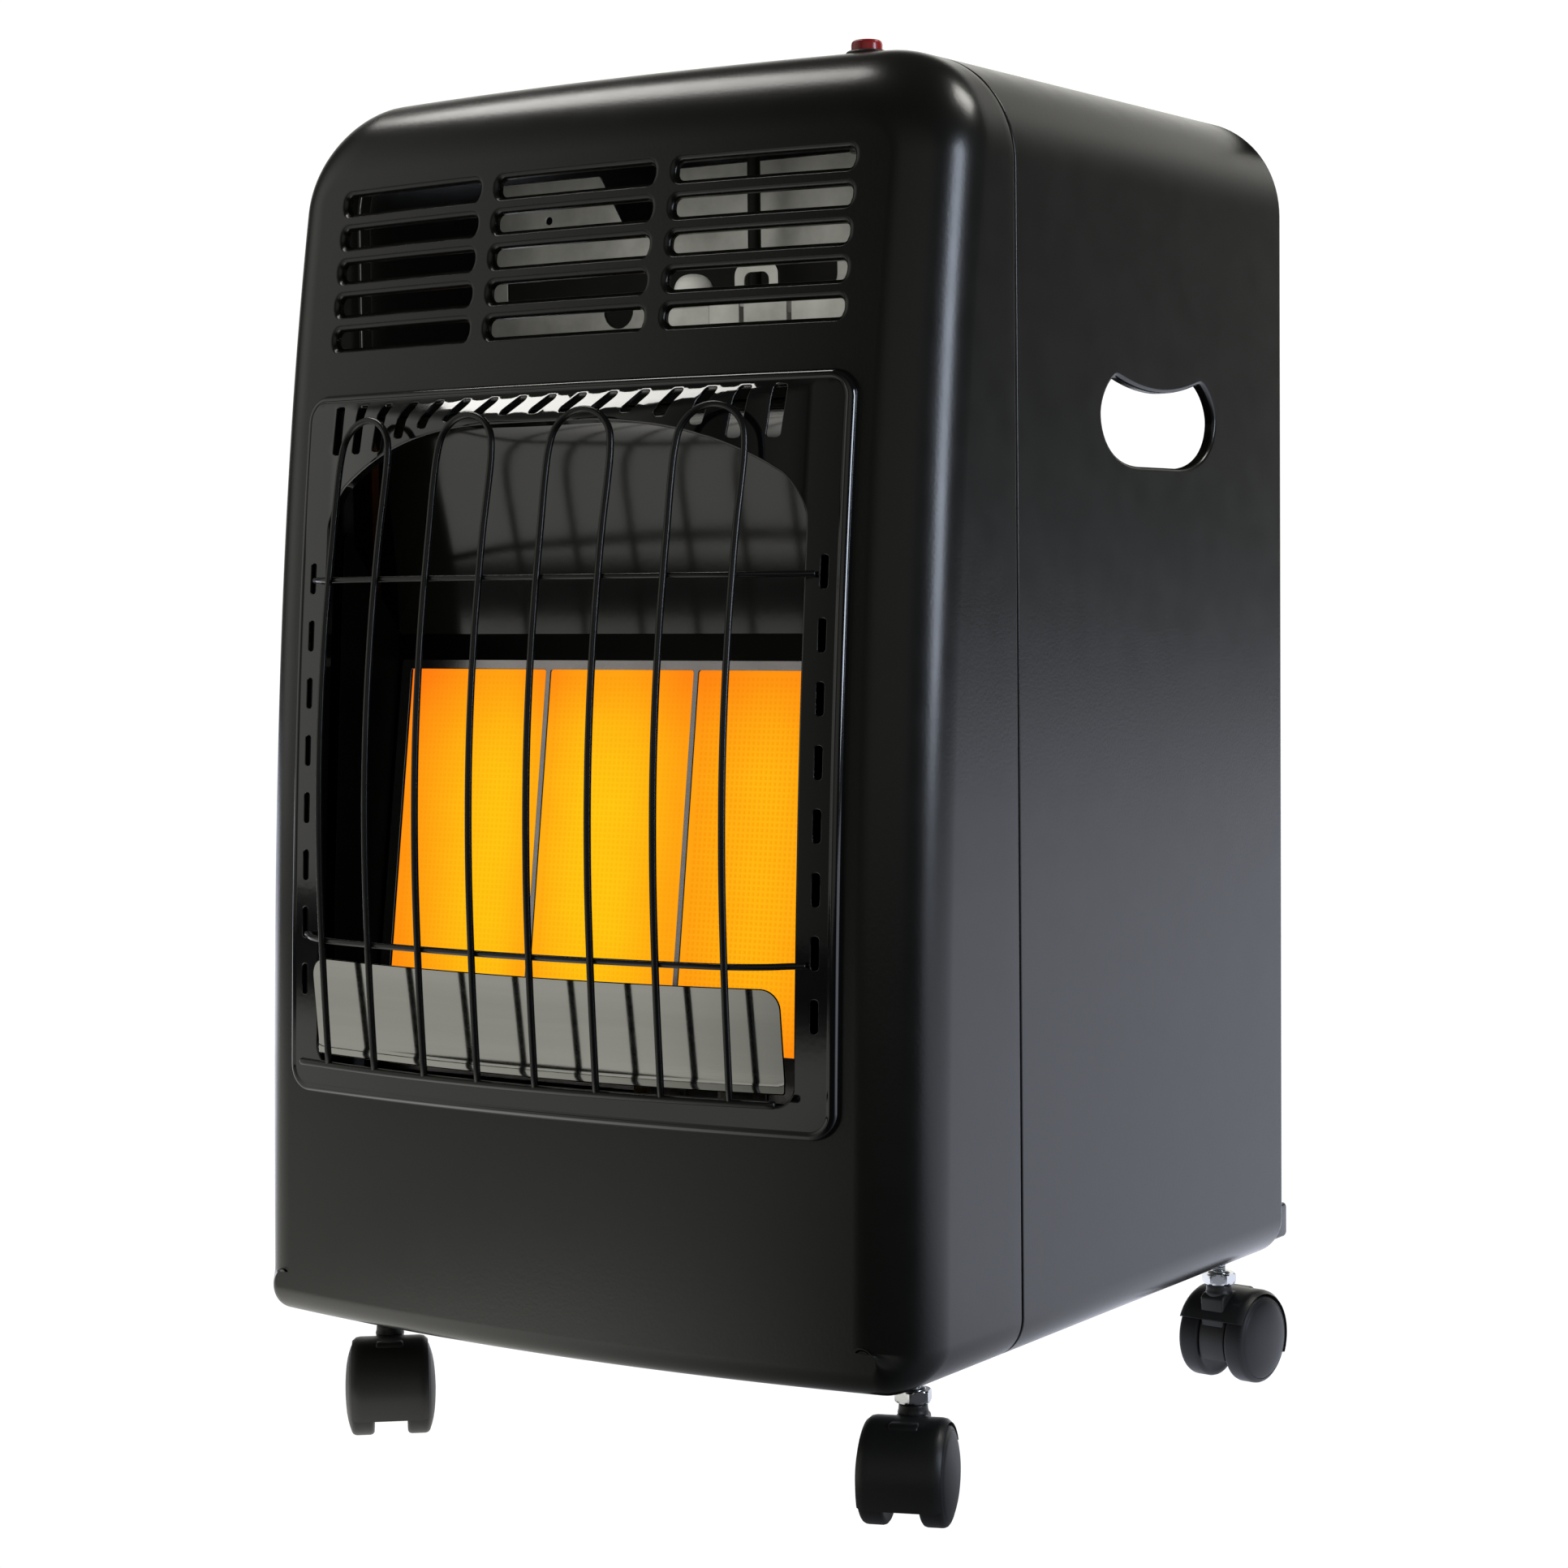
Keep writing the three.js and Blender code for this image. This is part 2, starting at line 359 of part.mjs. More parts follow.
add('control_knob', cut(join(turn([[0, KNOB.z0], [KNOB.r, KNOB.z0], [KNOB.r, KNOB.z0 + 5], [KNOB.r - 2.5, KNOB.z0 + 8], [KNOB.r - 3, KNOB.z0 + 10], [0, KNOB.z0 + 10]], 28),
  box(-4, 4, -KNOB.r + 2, KNOB.r - 2, KNOB.z0 + 4, KNOB.z1)).translate(KNOB.x, KNOB.y, 0), rodZ(KNOB.x, KNOB.y, 3.8, 620, 636.4, 12)), 'plastic', knobBody);

// igniter: body under the panel, collar on it, sprung button
add('igniter_body', turn([[0, 600], [9, 600], [9, 639], [10.3, 639], [10.3, 644.6], [9, 644.6], [9, 647], [8.2, 647], [8.2, 634], [0, 634]], 18).translate(IGN.x, IGN.y, 0), 'plastic');
add('igniter_collar', turn([[8.2, 647.3], [10.4, 647.3], [10.4, 648.8], [9.6, 649.8], [8.2, 649.8], [8.2, 647.3]], 18).translate(IGN.x, IGN.y, 0), 'plastic');
add('igniter_button', turn([[0, 641.5], [7.8, 641.5], [7.8, 653.6], [6.8, 654.8], [0, 655.2]], 18).translate(IGN.x, IGN.y, 0), 'red');

// pilot burner, thermocouple, electrode, their lines and the tilt switch
add('pilot_bracket', cut(join(box(30, 108, -102, -74, 126, 127.2), box(30, 108, -75.2, -74, 126, 143)), rodZ(45, -92, 4.5, 120, 130, 10), rodZ(70, -92, 2.7, 120, 130, 10), rodZ(95, -92, 3.5, 120, 130, 10)), 'steel');
add('pilot_burner', turn([[0, 112], [4.2, 112], [4.2, 148], [3, 150], [0, 150]], 10).translate(45, -92, 0), 'brass');
add('thermocouple', turn([[0, 114], [2.4, 114], [2.4, 156], [1.4, 164], [0, 165]], 8).translate(70, -92, 0), 'steel');
add('spark_electrode', turn([[0, 118], [3.2, 118], [3.2, 146], [1, 147], [1, 166], [0, 166]], 8).translate(95, -92, 0), 'ceramic');
add('pilot_tube', along(bent([[48.7, -10, 508], [60, -10, 508], [190, -22, 508], [190, -22, 96], [186, -84, 96], [45, -92, 96], [45, -92, 111.6]], 10), 2, 5, 34), 'copper');
add('thermocouple_lead', along(bent([[48.7, 12, 518], [60, 12, 518], [183, -36, 518], [183, -36, 104], [70, -92, 104], [70, -92, 113.6]], 8), 1.6, 5, 32), 'copper');
add('ignition_lead', along(bent([[IGN.x, IGN.y, 599.6], [IGN.x, IGN.y, 578], [176, -50, 578], [176, -50, 111], [95, -92, 108], [95, -92, 117.6]], 8), 1.6, 5, 34), 'lead');
add('tilt_switch', prismZ(rect(-126, -90, -62, -34, 3), 3, 30, 2), 'plastic');

// ---------------------------------------------------------------- casters
const arcBand = (r0, r1, a0, a1, n) => {
  const pts = [];
  for (let i = 0; i <= n; i++) { const a = (a0 + (a1 - a0) * i / n) * Math.PI / 180; pts.push([-CASTER.trail - r1 * Math.cos(a), CASTER.r + r1 * Math.sin(a)]); }
  for (let i = n; i >= 0; i--) { const a = (a0 + (a1 - a0) * i / n) * Math.PI / 180; pts.push([-CASTER.trail - r0 * Math.cos(a), CASTER.r + r0 * Math.sin(a)]); }
  return poly(pts.reverse());
};
const wheelProfile = [[0, 20.6], [3.4, 20.6], [3.4, 8.8], [21.5, 8.8], [24, 9.6], [25, 11.6], [25, 18.6], [23.6, 21.2], [17, 23.5], [0, 24.6]];
for (const [name, x, y, yaw] of CASTERS) {
  const c = new THREE.Group(); c.position.set(x, y, FLOOR); c.rotation.z = yaw * Math.PI / 180; root.add(c);
  add(`caster_stem_${name}`, join(rodZ(0, 0, 3.4, 40, 59, 10), prismZ(ring(9.6, 6), 57.8, 64), rodZ(0, 0, 4, 63, 92, 10), prismZ(ring(7.4, 6), 78, 83.4)), 'zinc', c);
  const web = [];
  for (let i = 0; i <= 12; i++) { const a = (-28 + 236 * i / 12) * Math.PI / 180; web.push([-CASTER.trail - 23.5 * Math.cos(a), CASTER.r + 23.5 * Math.sin(a)]); }
  const hood = cut(join(prismX(poly(web.reverse()), -CASTER.web, CASTER.web), prismX(arcBand(26, 28.2, -24, 150, 9), -21, 21), prismX(arcBand(22, 28.2, -24, 150, 9), -CASTER.web, CASTER.web),
    prismX(rect(-CASTER.trail, 7, 28, 49.6), -CASTER.web + 1, CASTER.web - 1), rodZ(0, 0, 7.2, 30, 57.5, 12), rodX(-CASTER.trail, CASTER.r, 3, -20, 20, 8)), rodZ(0, 0, 3.8, 38, 60, 10));
  add(`caster_hood_${name}`, hood, 'plastic', c);
  // about the axle: the lathe axis is laid along X
  const w = () => new THREE.LatheGeometry(wheelProfile.map(([r, h]) => new THREE.Vector2(r, h)), 20).rotateZ(-Math.PI / 2);
  add(`caster_wheel_${name}_a`, w().translate(0, -CASTER.trail, CASTER.r), 'wheel', c);
  add(`caster_wheel_${name}_b`, w().rotateZ(Math.PI).translate(0, -CASTER.trail, CASTER.r), 'wheel', c);
}

// ---------------------------------------------------------------- base frame
root.updateMatrixWorld(true);
const bounds = new THREE.Box3().setFromObject(root, true);
root.position.set(-(bounds.min.x + bounds.max.x) / 2, -(bounds.min.y + bounds.max.y) / 2, -bounds.min.z);
root.updateMatrixWorld(true);

export default root;
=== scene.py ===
import json
import math
import bpy
import numpy as np
from mathutils import Matrix, Vector
from mathutils.geometry import delaunay_2d_cdt

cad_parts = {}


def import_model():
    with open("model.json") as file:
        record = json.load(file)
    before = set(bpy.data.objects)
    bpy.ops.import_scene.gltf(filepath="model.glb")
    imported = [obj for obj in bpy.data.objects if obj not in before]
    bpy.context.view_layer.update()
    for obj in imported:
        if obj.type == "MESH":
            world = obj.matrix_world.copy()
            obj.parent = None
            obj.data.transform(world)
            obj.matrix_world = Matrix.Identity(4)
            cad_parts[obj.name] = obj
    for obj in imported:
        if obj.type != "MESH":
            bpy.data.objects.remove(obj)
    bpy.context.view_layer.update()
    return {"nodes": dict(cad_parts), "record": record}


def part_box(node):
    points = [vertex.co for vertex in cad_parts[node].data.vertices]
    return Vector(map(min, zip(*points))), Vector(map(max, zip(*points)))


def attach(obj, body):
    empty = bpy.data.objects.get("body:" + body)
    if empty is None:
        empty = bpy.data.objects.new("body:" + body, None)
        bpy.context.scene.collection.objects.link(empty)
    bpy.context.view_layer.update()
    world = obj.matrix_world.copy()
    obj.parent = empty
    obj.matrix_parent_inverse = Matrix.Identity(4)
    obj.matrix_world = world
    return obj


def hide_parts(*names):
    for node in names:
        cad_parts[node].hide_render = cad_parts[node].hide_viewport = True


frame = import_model()

pi = math.pi
cos, sin, rad = math.cos, math.sin, math.radians
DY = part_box("casing")[1].y * 1000 - 302.0
DZ = 75.0
SHIFT = np.array([0.0, DY, DZ])

# ------------------------------------------------------------------ sizes, as in the CAD
HALF_W, TOP, R_TOP, R_BOT, SKIN = 210.0, 647.0, 57.0, 22.0, 1.2
BACK = 302.0
SLOT_X = [(-159.8, -61.8), (-49.1, 49.1), (61.8, 159.8)]
SLOT_Z0, SLOT_PITCH, SLOT_H = 586.3, 17.97, 9.0
HAND_Y = 152.5
CASTERS = [("front_left", -169, -38, 40), ("front_right", 169, -38, 20),
           ("rear_right", 176, 288, 174), ("rear_left", -176, 288, 163)]


def face_y(x, z):
    t = (z - 312.8) / 300.0
    return -111 + 20.1 * t + 12.5 * t * t + 3.8 * t ** 3 + 0.00045 * x * x


def face_n(x, z):
    t = (z - 312.8) / 300.0
    gx, gz = 0.0009 * x, (20.1 + 25.0 * t + 11.4 * t * t) / 300.0
    n = np.stack([gx, -np.ones_like(gx + gz), gz + 0 * gx], -1)
    return n / np.linalg.norm(n, axis=-1, keepdims=True)


# ------------------------------------------------------------------ mesh bookkeeping
class Part:
    """Corners, normals and faces of one piece, in cabinet millimetres."""

    def __init__(self):
        self.v, self.n, self.f, self.flat = [], [], [], []

    def points(self, v, n):
        base = len(self.v)
        self.v += [tuple(p) for p in np.asarray(v, float)]
        self.n += [tuple(p) for p in np.asarray(n, float)]
        return list(range(base, len(self.v)))

    def faces(self, fs, flat=False):
        self.f += [tuple(int(i) for i in q) for q in fs]
        self.flat += [flat] * len(fs)

    def bridge(self, a, b, closed=True, flat=False):
        n = len(a)
        self.faces([(a[i], a[(i + 1) % n], b[(i + 1) % n], b[i]) for i in range(n if closed else n - 1)], flat)

    def agree(self):
        """Turns faces round where they look against their corners' normals."""
        v, n = np.array(self.v), np.array(self.n)
        for k, q in enumerate(self.f):
            a = v[q[1]] - v[q[0]]
            b = v[q[2]] - v[q[0]]
            m = np.cross(a, b)
            if len(q) == 4:
                m = np.cross(v[q[2]] - v[q[0]], v[q[3]] - v[q[1]])
            if not self.flat[k] and m @ n[list(q)].mean(0) < 0:
                self.f[k] = tuple(reversed(q))

    def thicken(self, t):
        """A second skin t behind the first, and rims between them."""
        self.agree()
        v, n = np.array(self.v), np.array(self.n)
        count, seen = {}, {}
        for q in self.f:
            for i in range(len(q)):
                e = (q[i], q[(i + 1) % len(q)])
                k = (min(e), max(e))
                count[k] = count.get(k, 0) + 1
                seen[k] = e
        m = len(self.v)
        fs = list(self.f)
        self.points(v - n * t, -n)
        self.faces([tuple(m + i for i in reversed(q)) for q in fs])
        self.faces([(seen[k][1], seen[k][0], m + seen[k][0], m + seen[k][1]) for k, c in count.items() if c == 1], True)


def obj(name, part, material, body, stands=(), uv=None):
    """Makes the object of a Part, or of (corners, faces) smoothed by angle."""
    me = bpy.data.meshes.new(name)
    if isinstance(part, Part):
        v, f = np.array(part.v), part.f
    else:
        v, f = np.array(part[0], float), part[1]
    p = (v + SHIFT) / 1000.0
    me.from_pydata(p.tolist(), [], f)
    me.polygons.foreach_set("use_smooth", [True] * len(me.polygons))
    if isinstance(part, Part):
        me.update()
        n = np.array(part.n)
        n = n / np.maximum(np.linalg.norm(n, axis=1, keepdims=True), 1e-9)
        out = []
        for k, q in enumerate(f):
            if part.flat[k]:
                a = v[q[1]] - v[q[0]]
                m = np.cross(a, v[q[2]] - v[q[0]])
                m = m / max(np.linalg.norm(m), 1e-9)
                out += [tuple(m)] * len(q)
            else:
                out += [tuple(n[i]) for i in q]
        me.normals_split_custom_set(out)
    else:
        me.set_sharp_from_angle(angle=rad(part[2] if len(part) > 2 else 32))
    if uv is not None:
        layer = me.uv_layers.new(name="UVMap")
        for poly in me.polygons:
            for li in poly.loop_indices:
                layer.data[li].uv = uv[me.loops[li].vertex_index]
    me.materials.append(material)
    o = bpy.data.objects.new(name, me)
    bpy.context.scene.collection.objects.link(o)
    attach(o, body)
    if stands:
        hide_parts(*stands)
    return o


def merge(*parts):
    """Several (corners, faces) as one."""
    v, f, base = [], [], 0
    for p in parts:
        v.append(np.asarray(p[0], float))
        f += [tuple(i + base for i in q) for q in p[1]]
        base += len(p[0])
    return np.concatenate(v), f


def moved(part, rot=None, by=(0, 0, 0)):
    v = np.asarray(part[0], float)
    if rot is not None:
        v = v @ np.array(rot).T
    return v + np.array(by, float), part[1]


def turned_z(deg):
    c, s = cos(rad(deg)), sin(rad(deg))
    return [[c, -s, 0], [s, c, 0], [0, 0, 1]]


def turned_x(deg):
    c, s = cos(rad(deg)), sin(rad(deg))
    return [[1, 0, 0], [0, c, -s], [0, s, c]]


# ------------------------------------------------------------------ flat outlines
def inside(poly, pts):
    x, y = pts[:, 0], pts[:, 1]
    r = np.zeros(len(pts), bool)
    n = len(poly)
    for i in range(n):
        x0, y0 = poly[i]
        x1, y1 = poly[(i + 1) % n]
        if y0 == y1:
            continue
        c = (y0 > y) != (y1 > y)
        r ^= c & (x < (x1 - x0) * (y - y0) / (y1 - y0) + x0)
    return r


def gap_to(poly, pts):
    a = np.asarray(poly, float)
    b = np.roll(a, -1, axis=0)
    best = np.full(len(pts), 1e9)
    for p, q in zip(a, b):
        d = q - p
        t = np.clip(((pts - p) @ d) / max(d @ d, 1e-12), 0, 1)
        best = np.minimum(best, np.linalg.norm(pts - p - t[:, None] * d, axis=1))
    return best


def out2(loop):
    """Outward direction at each corner of a counter-clockwise outline."""
    a = np.asarray(loop, float)
    e = np.roll(a, -1, axis=0) - a
    e /= np.maximum(np.linalg.norm(e, axis=1, keepdims=True), 1e-9)
    n = np.stack([e[:, 1], -e[:, 0]], 1)
    m = n + np.roll(n, 1, axis=0)
    return m / np.maximum(np.linalg.norm(m, axis=1, keepdims=True), 1e-9)


def grow(loop, d):
    a = np.asarray(loop, float)
    e = np.roll(a, -1, axis=0) - a
    e /= np.maximum(np.linalg.norm(e, axis=1, keepdims=True), 1e-9)
    n = np.stack([e[:, 1], -e[:, 0]], 1)
    m = n + np.roll(n, 1, axis=0)
    m /= np.maximum((m * m).sum(1, keepdims=True), 1e-9) / 2
    return a + m * d


def rounded(x0, x1, z0, z1, r, arc=8, step=1e9):
    """Counter-clockwise rectangle with rounded corners; long sides are split at step."""
    pts = []
    corners = [(x1 - r, z0 + r, -90), (x1 - r, z1 - r, 0), (x0 + r, z1 - r, 90), (x0 + r, z0 + r, 180)]
    for k, (cx, cz, a0) in enumerate(corners):
        for i in range(arc + 1):
            a = rad(a0 + 90 * i / arc)
            pts.append((cx + r * cos(a), cz + r * sin(a)))
        nx, nz, b0 = corners[(k + 1) % 4]
        a = rad(a0 + 90)
        p = (cx + r * cos(a), cz + r * sin(a))
        b = rad(b0)
        q = (nx + r * cos(b), nz + r * sin(b))
        length = math.hypot(q[0] - p[0], q[1] - p[1])
        m = int(length // step)
        for i in range(1, m + 1):
            t = i / (m + 1)
            pts.append((p[0] + (q[0] - p[0]) * t, p[1] + (q[1] - p[1]) * t))
    return np.array(pts)


def fillet(points, r, arc=6, step=1e9):
    """Counter-clockwise outline with each corner rounded; r is a number or one per corner."""
    pts = np.asarray(points, float)
    n = len(pts)
    rs = [r] * n if isinstance(r, (int, float)) else list(r)
    out = []
    for i in range(n):
        a, b, c = pts[i - 1], pts[i], pts[(i + 1) % n]
        u, w = a - b, c - b
        lu, lw = np.linalg.norm(u), np.linalg.norm(w)
        u, w = u / lu, w / lw
        ang = math.acos(max(-1, min(1, u @ w)))
        if rs[i] <= 0 or abs(ang - pi) < 1e-3:
            out.append(b)
            continue
        t = min(rs[i] / math.tan(ang / 2), lu * 0.49, lw * 0.49)
        p, q = b + u * t, b + w * t
        centre = b + (u + w) / np.linalg.norm(u + w) * (t / cos(ang / 2))
        rr = np.linalg.norm(p - centre)
        a0 = math.atan2(*(p - centre)[::-1])
        a1 = math.atan2(*(q - centre)[::-1])
        d = (a1 - a0 + pi) % (2 * pi) - pi
        for k in range(arc + 1):
            s = a0 + d * k / arc
            out.append(centre + rr * np.array([cos(s), sin(s)]))
    res = []
    for i in range(len(out)):
        p, q = out[i], out[(i + 1) % len(out)]
        res.append(p)
        m = int(np.linalg.norm(q - p) // step)
        for k in range(1, m + 1):
            res.append(p + (q - p) * k / (m + 1))
    return np.array(res)


def bezier_loop(parts, n=14):
    """Closed outline from cubic pieces [(p0, c0, c1, p1), ...]."""
    pts = []
    for p0, c0, c1, p1 in parts:
        for i in range(n):
            t = i / n
            pts.append([(1 - t) ** 3 * p0[k] + 3 * t * (1 - t) ** 2 * c0[k] + 3 * t * t * (1 - t) * c1[k] + t ** 3 * p1[k] for k in (0, 1)])
    return np.array(pts)


def region(outer, holes, step, extra=None, margin=0.42):
    """Triangles over a flat region with holes: points, faces, and each outline's corner numbers."""
    loops = [np.asarray(outer, float)] + [np.asarray(h, float) for h in holes]
    lo, hi = loops[0].min(0), loops[0].max(0)
    sx, sy = (step, step) if isinstance(step, (int, float)) else step
    gx = np.linspace(lo[0], hi[0], max(2, int((hi[0] - lo[0]) / sx)) + 1)[1:-1]
    gy = np.linspace(lo[1], hi[1], max(2, int((hi[1] - lo[1]) / sy)) + 1)[1:-1]
    if extra is not None:
        gx, gy = extra(gx, gy)
    g = np.array(np.meshgrid(gx, gy)).reshape(2, -1).T
    ok = inside(loops[0], g)
    for h in loops[1:]:
        ok &= ~inside(h, g)
    g = g[ok]
    d = np.full(len(g), 1e9)
    for h in loops:
        d = np.minimum(d, gap_to(h, g))
    g = g[d > margin * min(sx, sy)]
    pts = np.concatenate(loops + [g])
    edges, spans, base = [], [], 0
    for h in loops:
        n = len(h)
        edges += [(base + i, base + (i + 1) % n) for i in range(n)]
        spans.append((base, base + n))
        base += n
    vs, _, fs, src, _, _ = delaunay_2d_cdt([Vector((float(p[0]), float(p[1]))) for p in pts], edges, [], 1, 1e-5)
    v2 = np.array([(p.x, p.y) for p in vs])
    tri = np.array([tuple(q) for q in fs])
    c = v2[tri].mean(1)
    ok = inside(loops[0], c)
    for h in loops[1:]:
        ok &= ~inside(h, c)
    tri = tri[ok]
    where = {}
    for k, s in enumerate(src):
        for i in s:
            where[i] = k
    ids = [[where[i] for i in range(a, b)] for a, b in spans]
    return v2, tri, ids


# the lower lip of a louver: a flat bevel instead of a round roll, as fractions of the fold's radius
LIP_AT = (0, 0.17, 0.34, 0.84, 1)
LIP_RUN = (0, 0.11, 0.24, 0.88, 1)
LIP_BACK = (0, 0.04, 0.16, 1.0, 1.3)
LIP_TURN = (0, 34, 51, 55, 78)


def pressed(outer, holes, place, normal, step, folds=(), outer_fold=None, part=None, extra=None):
    """A pressed skin over a flat region. place(u, v) gives 3-D points and normal(u, v) their normals.
    Each hole (its clear opening) is folded in by (radius, depth, steps); the outline too if asked.
    A fold with a fourth value has its lower side bevelled."""
    part = part or Part()
    hole_loops = [grow(h, f[0]) if f else np.asarray(h, float) for h, f in zip(holes, folds)]
    edge_loop = grow(outer, -outer_fold[0]) if outer_fold else np.asarray(outer, float)
    v2, tri, ids = region(edge_loop, hole_loops, step, extra)
    base = part.points(place(v2[:, 0], v2[:, 1]), normal(v2[:, 0], v2[:, 1]))[0]
    part.faces([(base + a, base + b, base + c) for a, b, c in tri])
    ends = []
    jobs = [(outer, ids[0], outer_fold, 1)] + [(h, i, f, -1) for h, i, f in zip(holes, ids[1:], folds)]
    for loop, idx, fold, sign in jobs:
        ring = [base + i for i in idx]
        if not fold:
            ends.append(ring)
            continue
        r, deep, steps = fold[:3]
        at = grow(loop, -sign * r)
        o2 = out2(at) * sign
        p3 = place(at[:, 0], at[:, 1])
        n3 = normal(at[:, 0], at[:, 1])
        o3 = place(at[:, 0] + o2[:, 0] * 0.05, at[:, 1] + o2[:, 1] * 0.05) - p3
        o3 /= np.maximum(np.linalg.norm(o3, axis=1, keepdims=True), 1e-9)
        low = np.clip((o3[:, 2:] - 0.55) / 0.35, 0, 1) if len(fold) > 3 else np.zeros((len(o3), 1))
        for k in range(1, steps + 1):
            q = k / steps
            a = q * pi / 2
            run = r * (sin(a) * (1 - low) + np.interp(q, LIP_AT, LIP_RUN) * low)
            back = r * ((1 - cos(a)) * (1 - low) + np.interp(q, LIP_AT, LIP_BACK) * low)
            turn = a * (1 - low) + np.radians(np.interp(q, LIP_AT, LIP_TURN)) * low
            nxt = part.points(p3 + o3 * run - n3 * back, n3 * np.cos(turn) + o3 * np.sin(turn))
            part.bridge(ring, nxt)
            ring = nxt
        if deep > r:
            nxt = part.points(p3 + o3 * r - n3 * deep, o3)
            part.bridge(ring, nxt)
            ring = nxt
        ends.append(ring)
    return part, ends


def plate(outer, holes, place, normal, t, r, step, part=None, arc=2):
    """A solid sheet t thick over a flat region, all its edges rounded by r."""
    part = part or Part()
    loops = [(np.asarray(outer, float), 1)] + [(np.asarray(h, float), -1) for h in holes]
    v2, tri, ids = region(grow(outer, -r), [grow(h, r) for h in holes], step)
    p, n = place(v2[:, 0], v2[:, 1]), normal(v2[:, 0], v2[:, 1])
    a = part.points(p, n)[0]
    part.faces([(a + i, a + j, a + k) for i, j, k in tri])
    b = part.points(p - n * t, -n)[0]
    part.faces([(b + i, b + k, b + j) for i, j, k in tri])
    for (loop, sign), idx in zip(loops, ids):
        at = grow(loop, -sign * r)
        o2 = out2(at) * sign
        p3, n3 = place(at[:, 0], at[:, 1]), normal(at[:, 0], at[:, 1])
        o3 = place(at[:, 0] + o2[:, 0] * 0.05, at[:, 1] + o2[:, 1] * 0.05) - p3
        o3 /= np.maximum(np.linalg.norm(o3, axis=1, keepdims=True), 1e-9)
        ring = [a + i for i in idx]
        for k in range(1, arc + 1):
            s = k / arc * pi / 2
            nxt = part.points(p3 + o3 * r * sin(s) - n3 * r * (1 - cos(s)), n3 * cos(s) + o3 * sin(s))
            part.bridge(ring, nxt)
            ring = nxt
        for k in range(0, arc):
            s = pi / 2 * (1 + k / arc)
            nxt = part.points(p3 + o3 * r * sin(s) - n3 * (t - r - r * cos(s)), n3 * cos(s) + o3 * sin(s))
            part.bridge(ring, nxt)
            ring = nxt
        part.bridge(ring, [b + i for i in idx])
    return part


def arr(x, y, z):
    x, y, z = np.broadcast_arrays(np.asarray(x, float), np.asarray(y, float), np.asarray(z, float))
    return np.stack([x, y, z], -1)


def flat_y(y, s=-1):
    return (lambda x, z: arr(x, y, z)), (lambda x, z: arr(0 * x, s, 0))


def flat_x(x, s=1):
    return (lambda y, z: arr(x, y, z)), (lambda y, z: arr(s, 0 * y, 0))


def flat_z(z, s=1):
    return (lambda x, y: arr(x, y, z)), (lambda x, y: arr(0 * x, 0, s))


# ------------------------------------------------------------------ turned and swept forms
def lathe(profile, seg=48):
    """About +Z, profile [(r, z)] from one end on the axis to the other."""
    v, f, rows = [], [], []
    for r, z in profile:
        if r < 1e-6:
            rows.append([len(v)])
            v.append((0, 0, z))
        else:
            rows.append(list(range(len(v), len(v) + seg)))
            v += [(r * cos(2 * pi * i / seg), r * sin(2 * pi * i / seg), z) for i in range(seg)]
    for a, b in zip(rows, rows[1:]):
        for i in range(seg):
            j = (i + 1) % seg
            if len(a) == 1 and len(b) == 1:
                continue
            if len(a) == 1:
                f.append((a[0], b[j], b[i]))
            elif len(b) == 1:
                f.append((a[i], a[j], b[0]))
            else:
                f.append((a[i], a[j], b[j], b[i]))
    return np.array(v, float), f


def ringed(profile, seg=48):
    """About +Z, a closed ring profile [(r, z)]."""
    v, f, n = [], [], len(profile)
    for r, z in profile:
        v += [(r * cos(2 * pi * i / seg), r * sin(2 * pi * i / seg), z) for i in range(seg)]
    for k in range(n):
        a, b = k * seg, (k + 1) % n * seg
        f += [(a + i, a + (i + 1) % seg, b + (i + 1) % seg, b + i) for i in range(seg)]
    return np.array(v, float), f


def soften(profile, r=0.5, arc=3):
    """Rounds the inner corners of an open profile."""
    pts = [np.array(p, float) for p in profile]
    out = [pts[0]]
    for a, b, c in zip(pts, pts[1:], pts[2:]):
        u, w = a - b, c - b
        lu, lw = np.linalg.norm(u), np.linalg.norm(w)
        if lu < 1e-6 or lw < 1e-6:
            continue
        t = min(r, lu * 0.45, lw * 0.45)
        p, q = b + u / lu * t, b + w / lw * t
        for k in range(arc + 1):
            s = k / arc
            out.append((1 - s) ** 2 * p + 2 * s * (1 - s) * b + s * s * q)
    out.append(pts[-1])
    return [tuple(p) for p in out]


def smooth_line(points, per=6):
    """Centripetal Catmull-Rom through the points."""
    p = [np.array(q, float) for q in points]
    p = [2 * p[0] - p[1]] + p + [2 * p[-1] - p[-2]]
    out = []
    for i in range(1, len(p) - 2):
        t = [0.0]
        for k in range(3):
            t.append(t[-1] + max(np.linalg.norm(p[i + k] - p[i - 1 + k]), 1e-6) ** 0.5)
        for s in range(per):
            u = t[1] + (t[2] - t[1]) * s / per
            a1 = (t[1] - u) / (t[1] - t[0]) * p[i - 1] + (u - t[0]) / (t[1] - t[0]) * p[i]
            a2 = (t[2] - u) / (t[2] - t[1]) * p[i] + (u - t[1]) / (t[2] - t[1]) * p[i + 1]
            a3 = (t[3] - u) / (t[3] - t[2]) * p[i + 1] + (u - t[2]) / (t[3] - t[2]) * p[i + 2]
            b1 = (t[2] - u) / (t[2] - t[0]) * a1 + (u - t[0]) / (t[2] - t[0]) * a2
            b2 = (t[3] - u) / (t[3] - t[1]) * a2 + (u - t[1]) / (t[3] - t[1]) * a3
            out.append((t[2] - u) / (t[2] - t[1]) * b1 + (u - t[1]) / (t[2] - t[1]) * b2)
    out.append(p[-2])
    return out


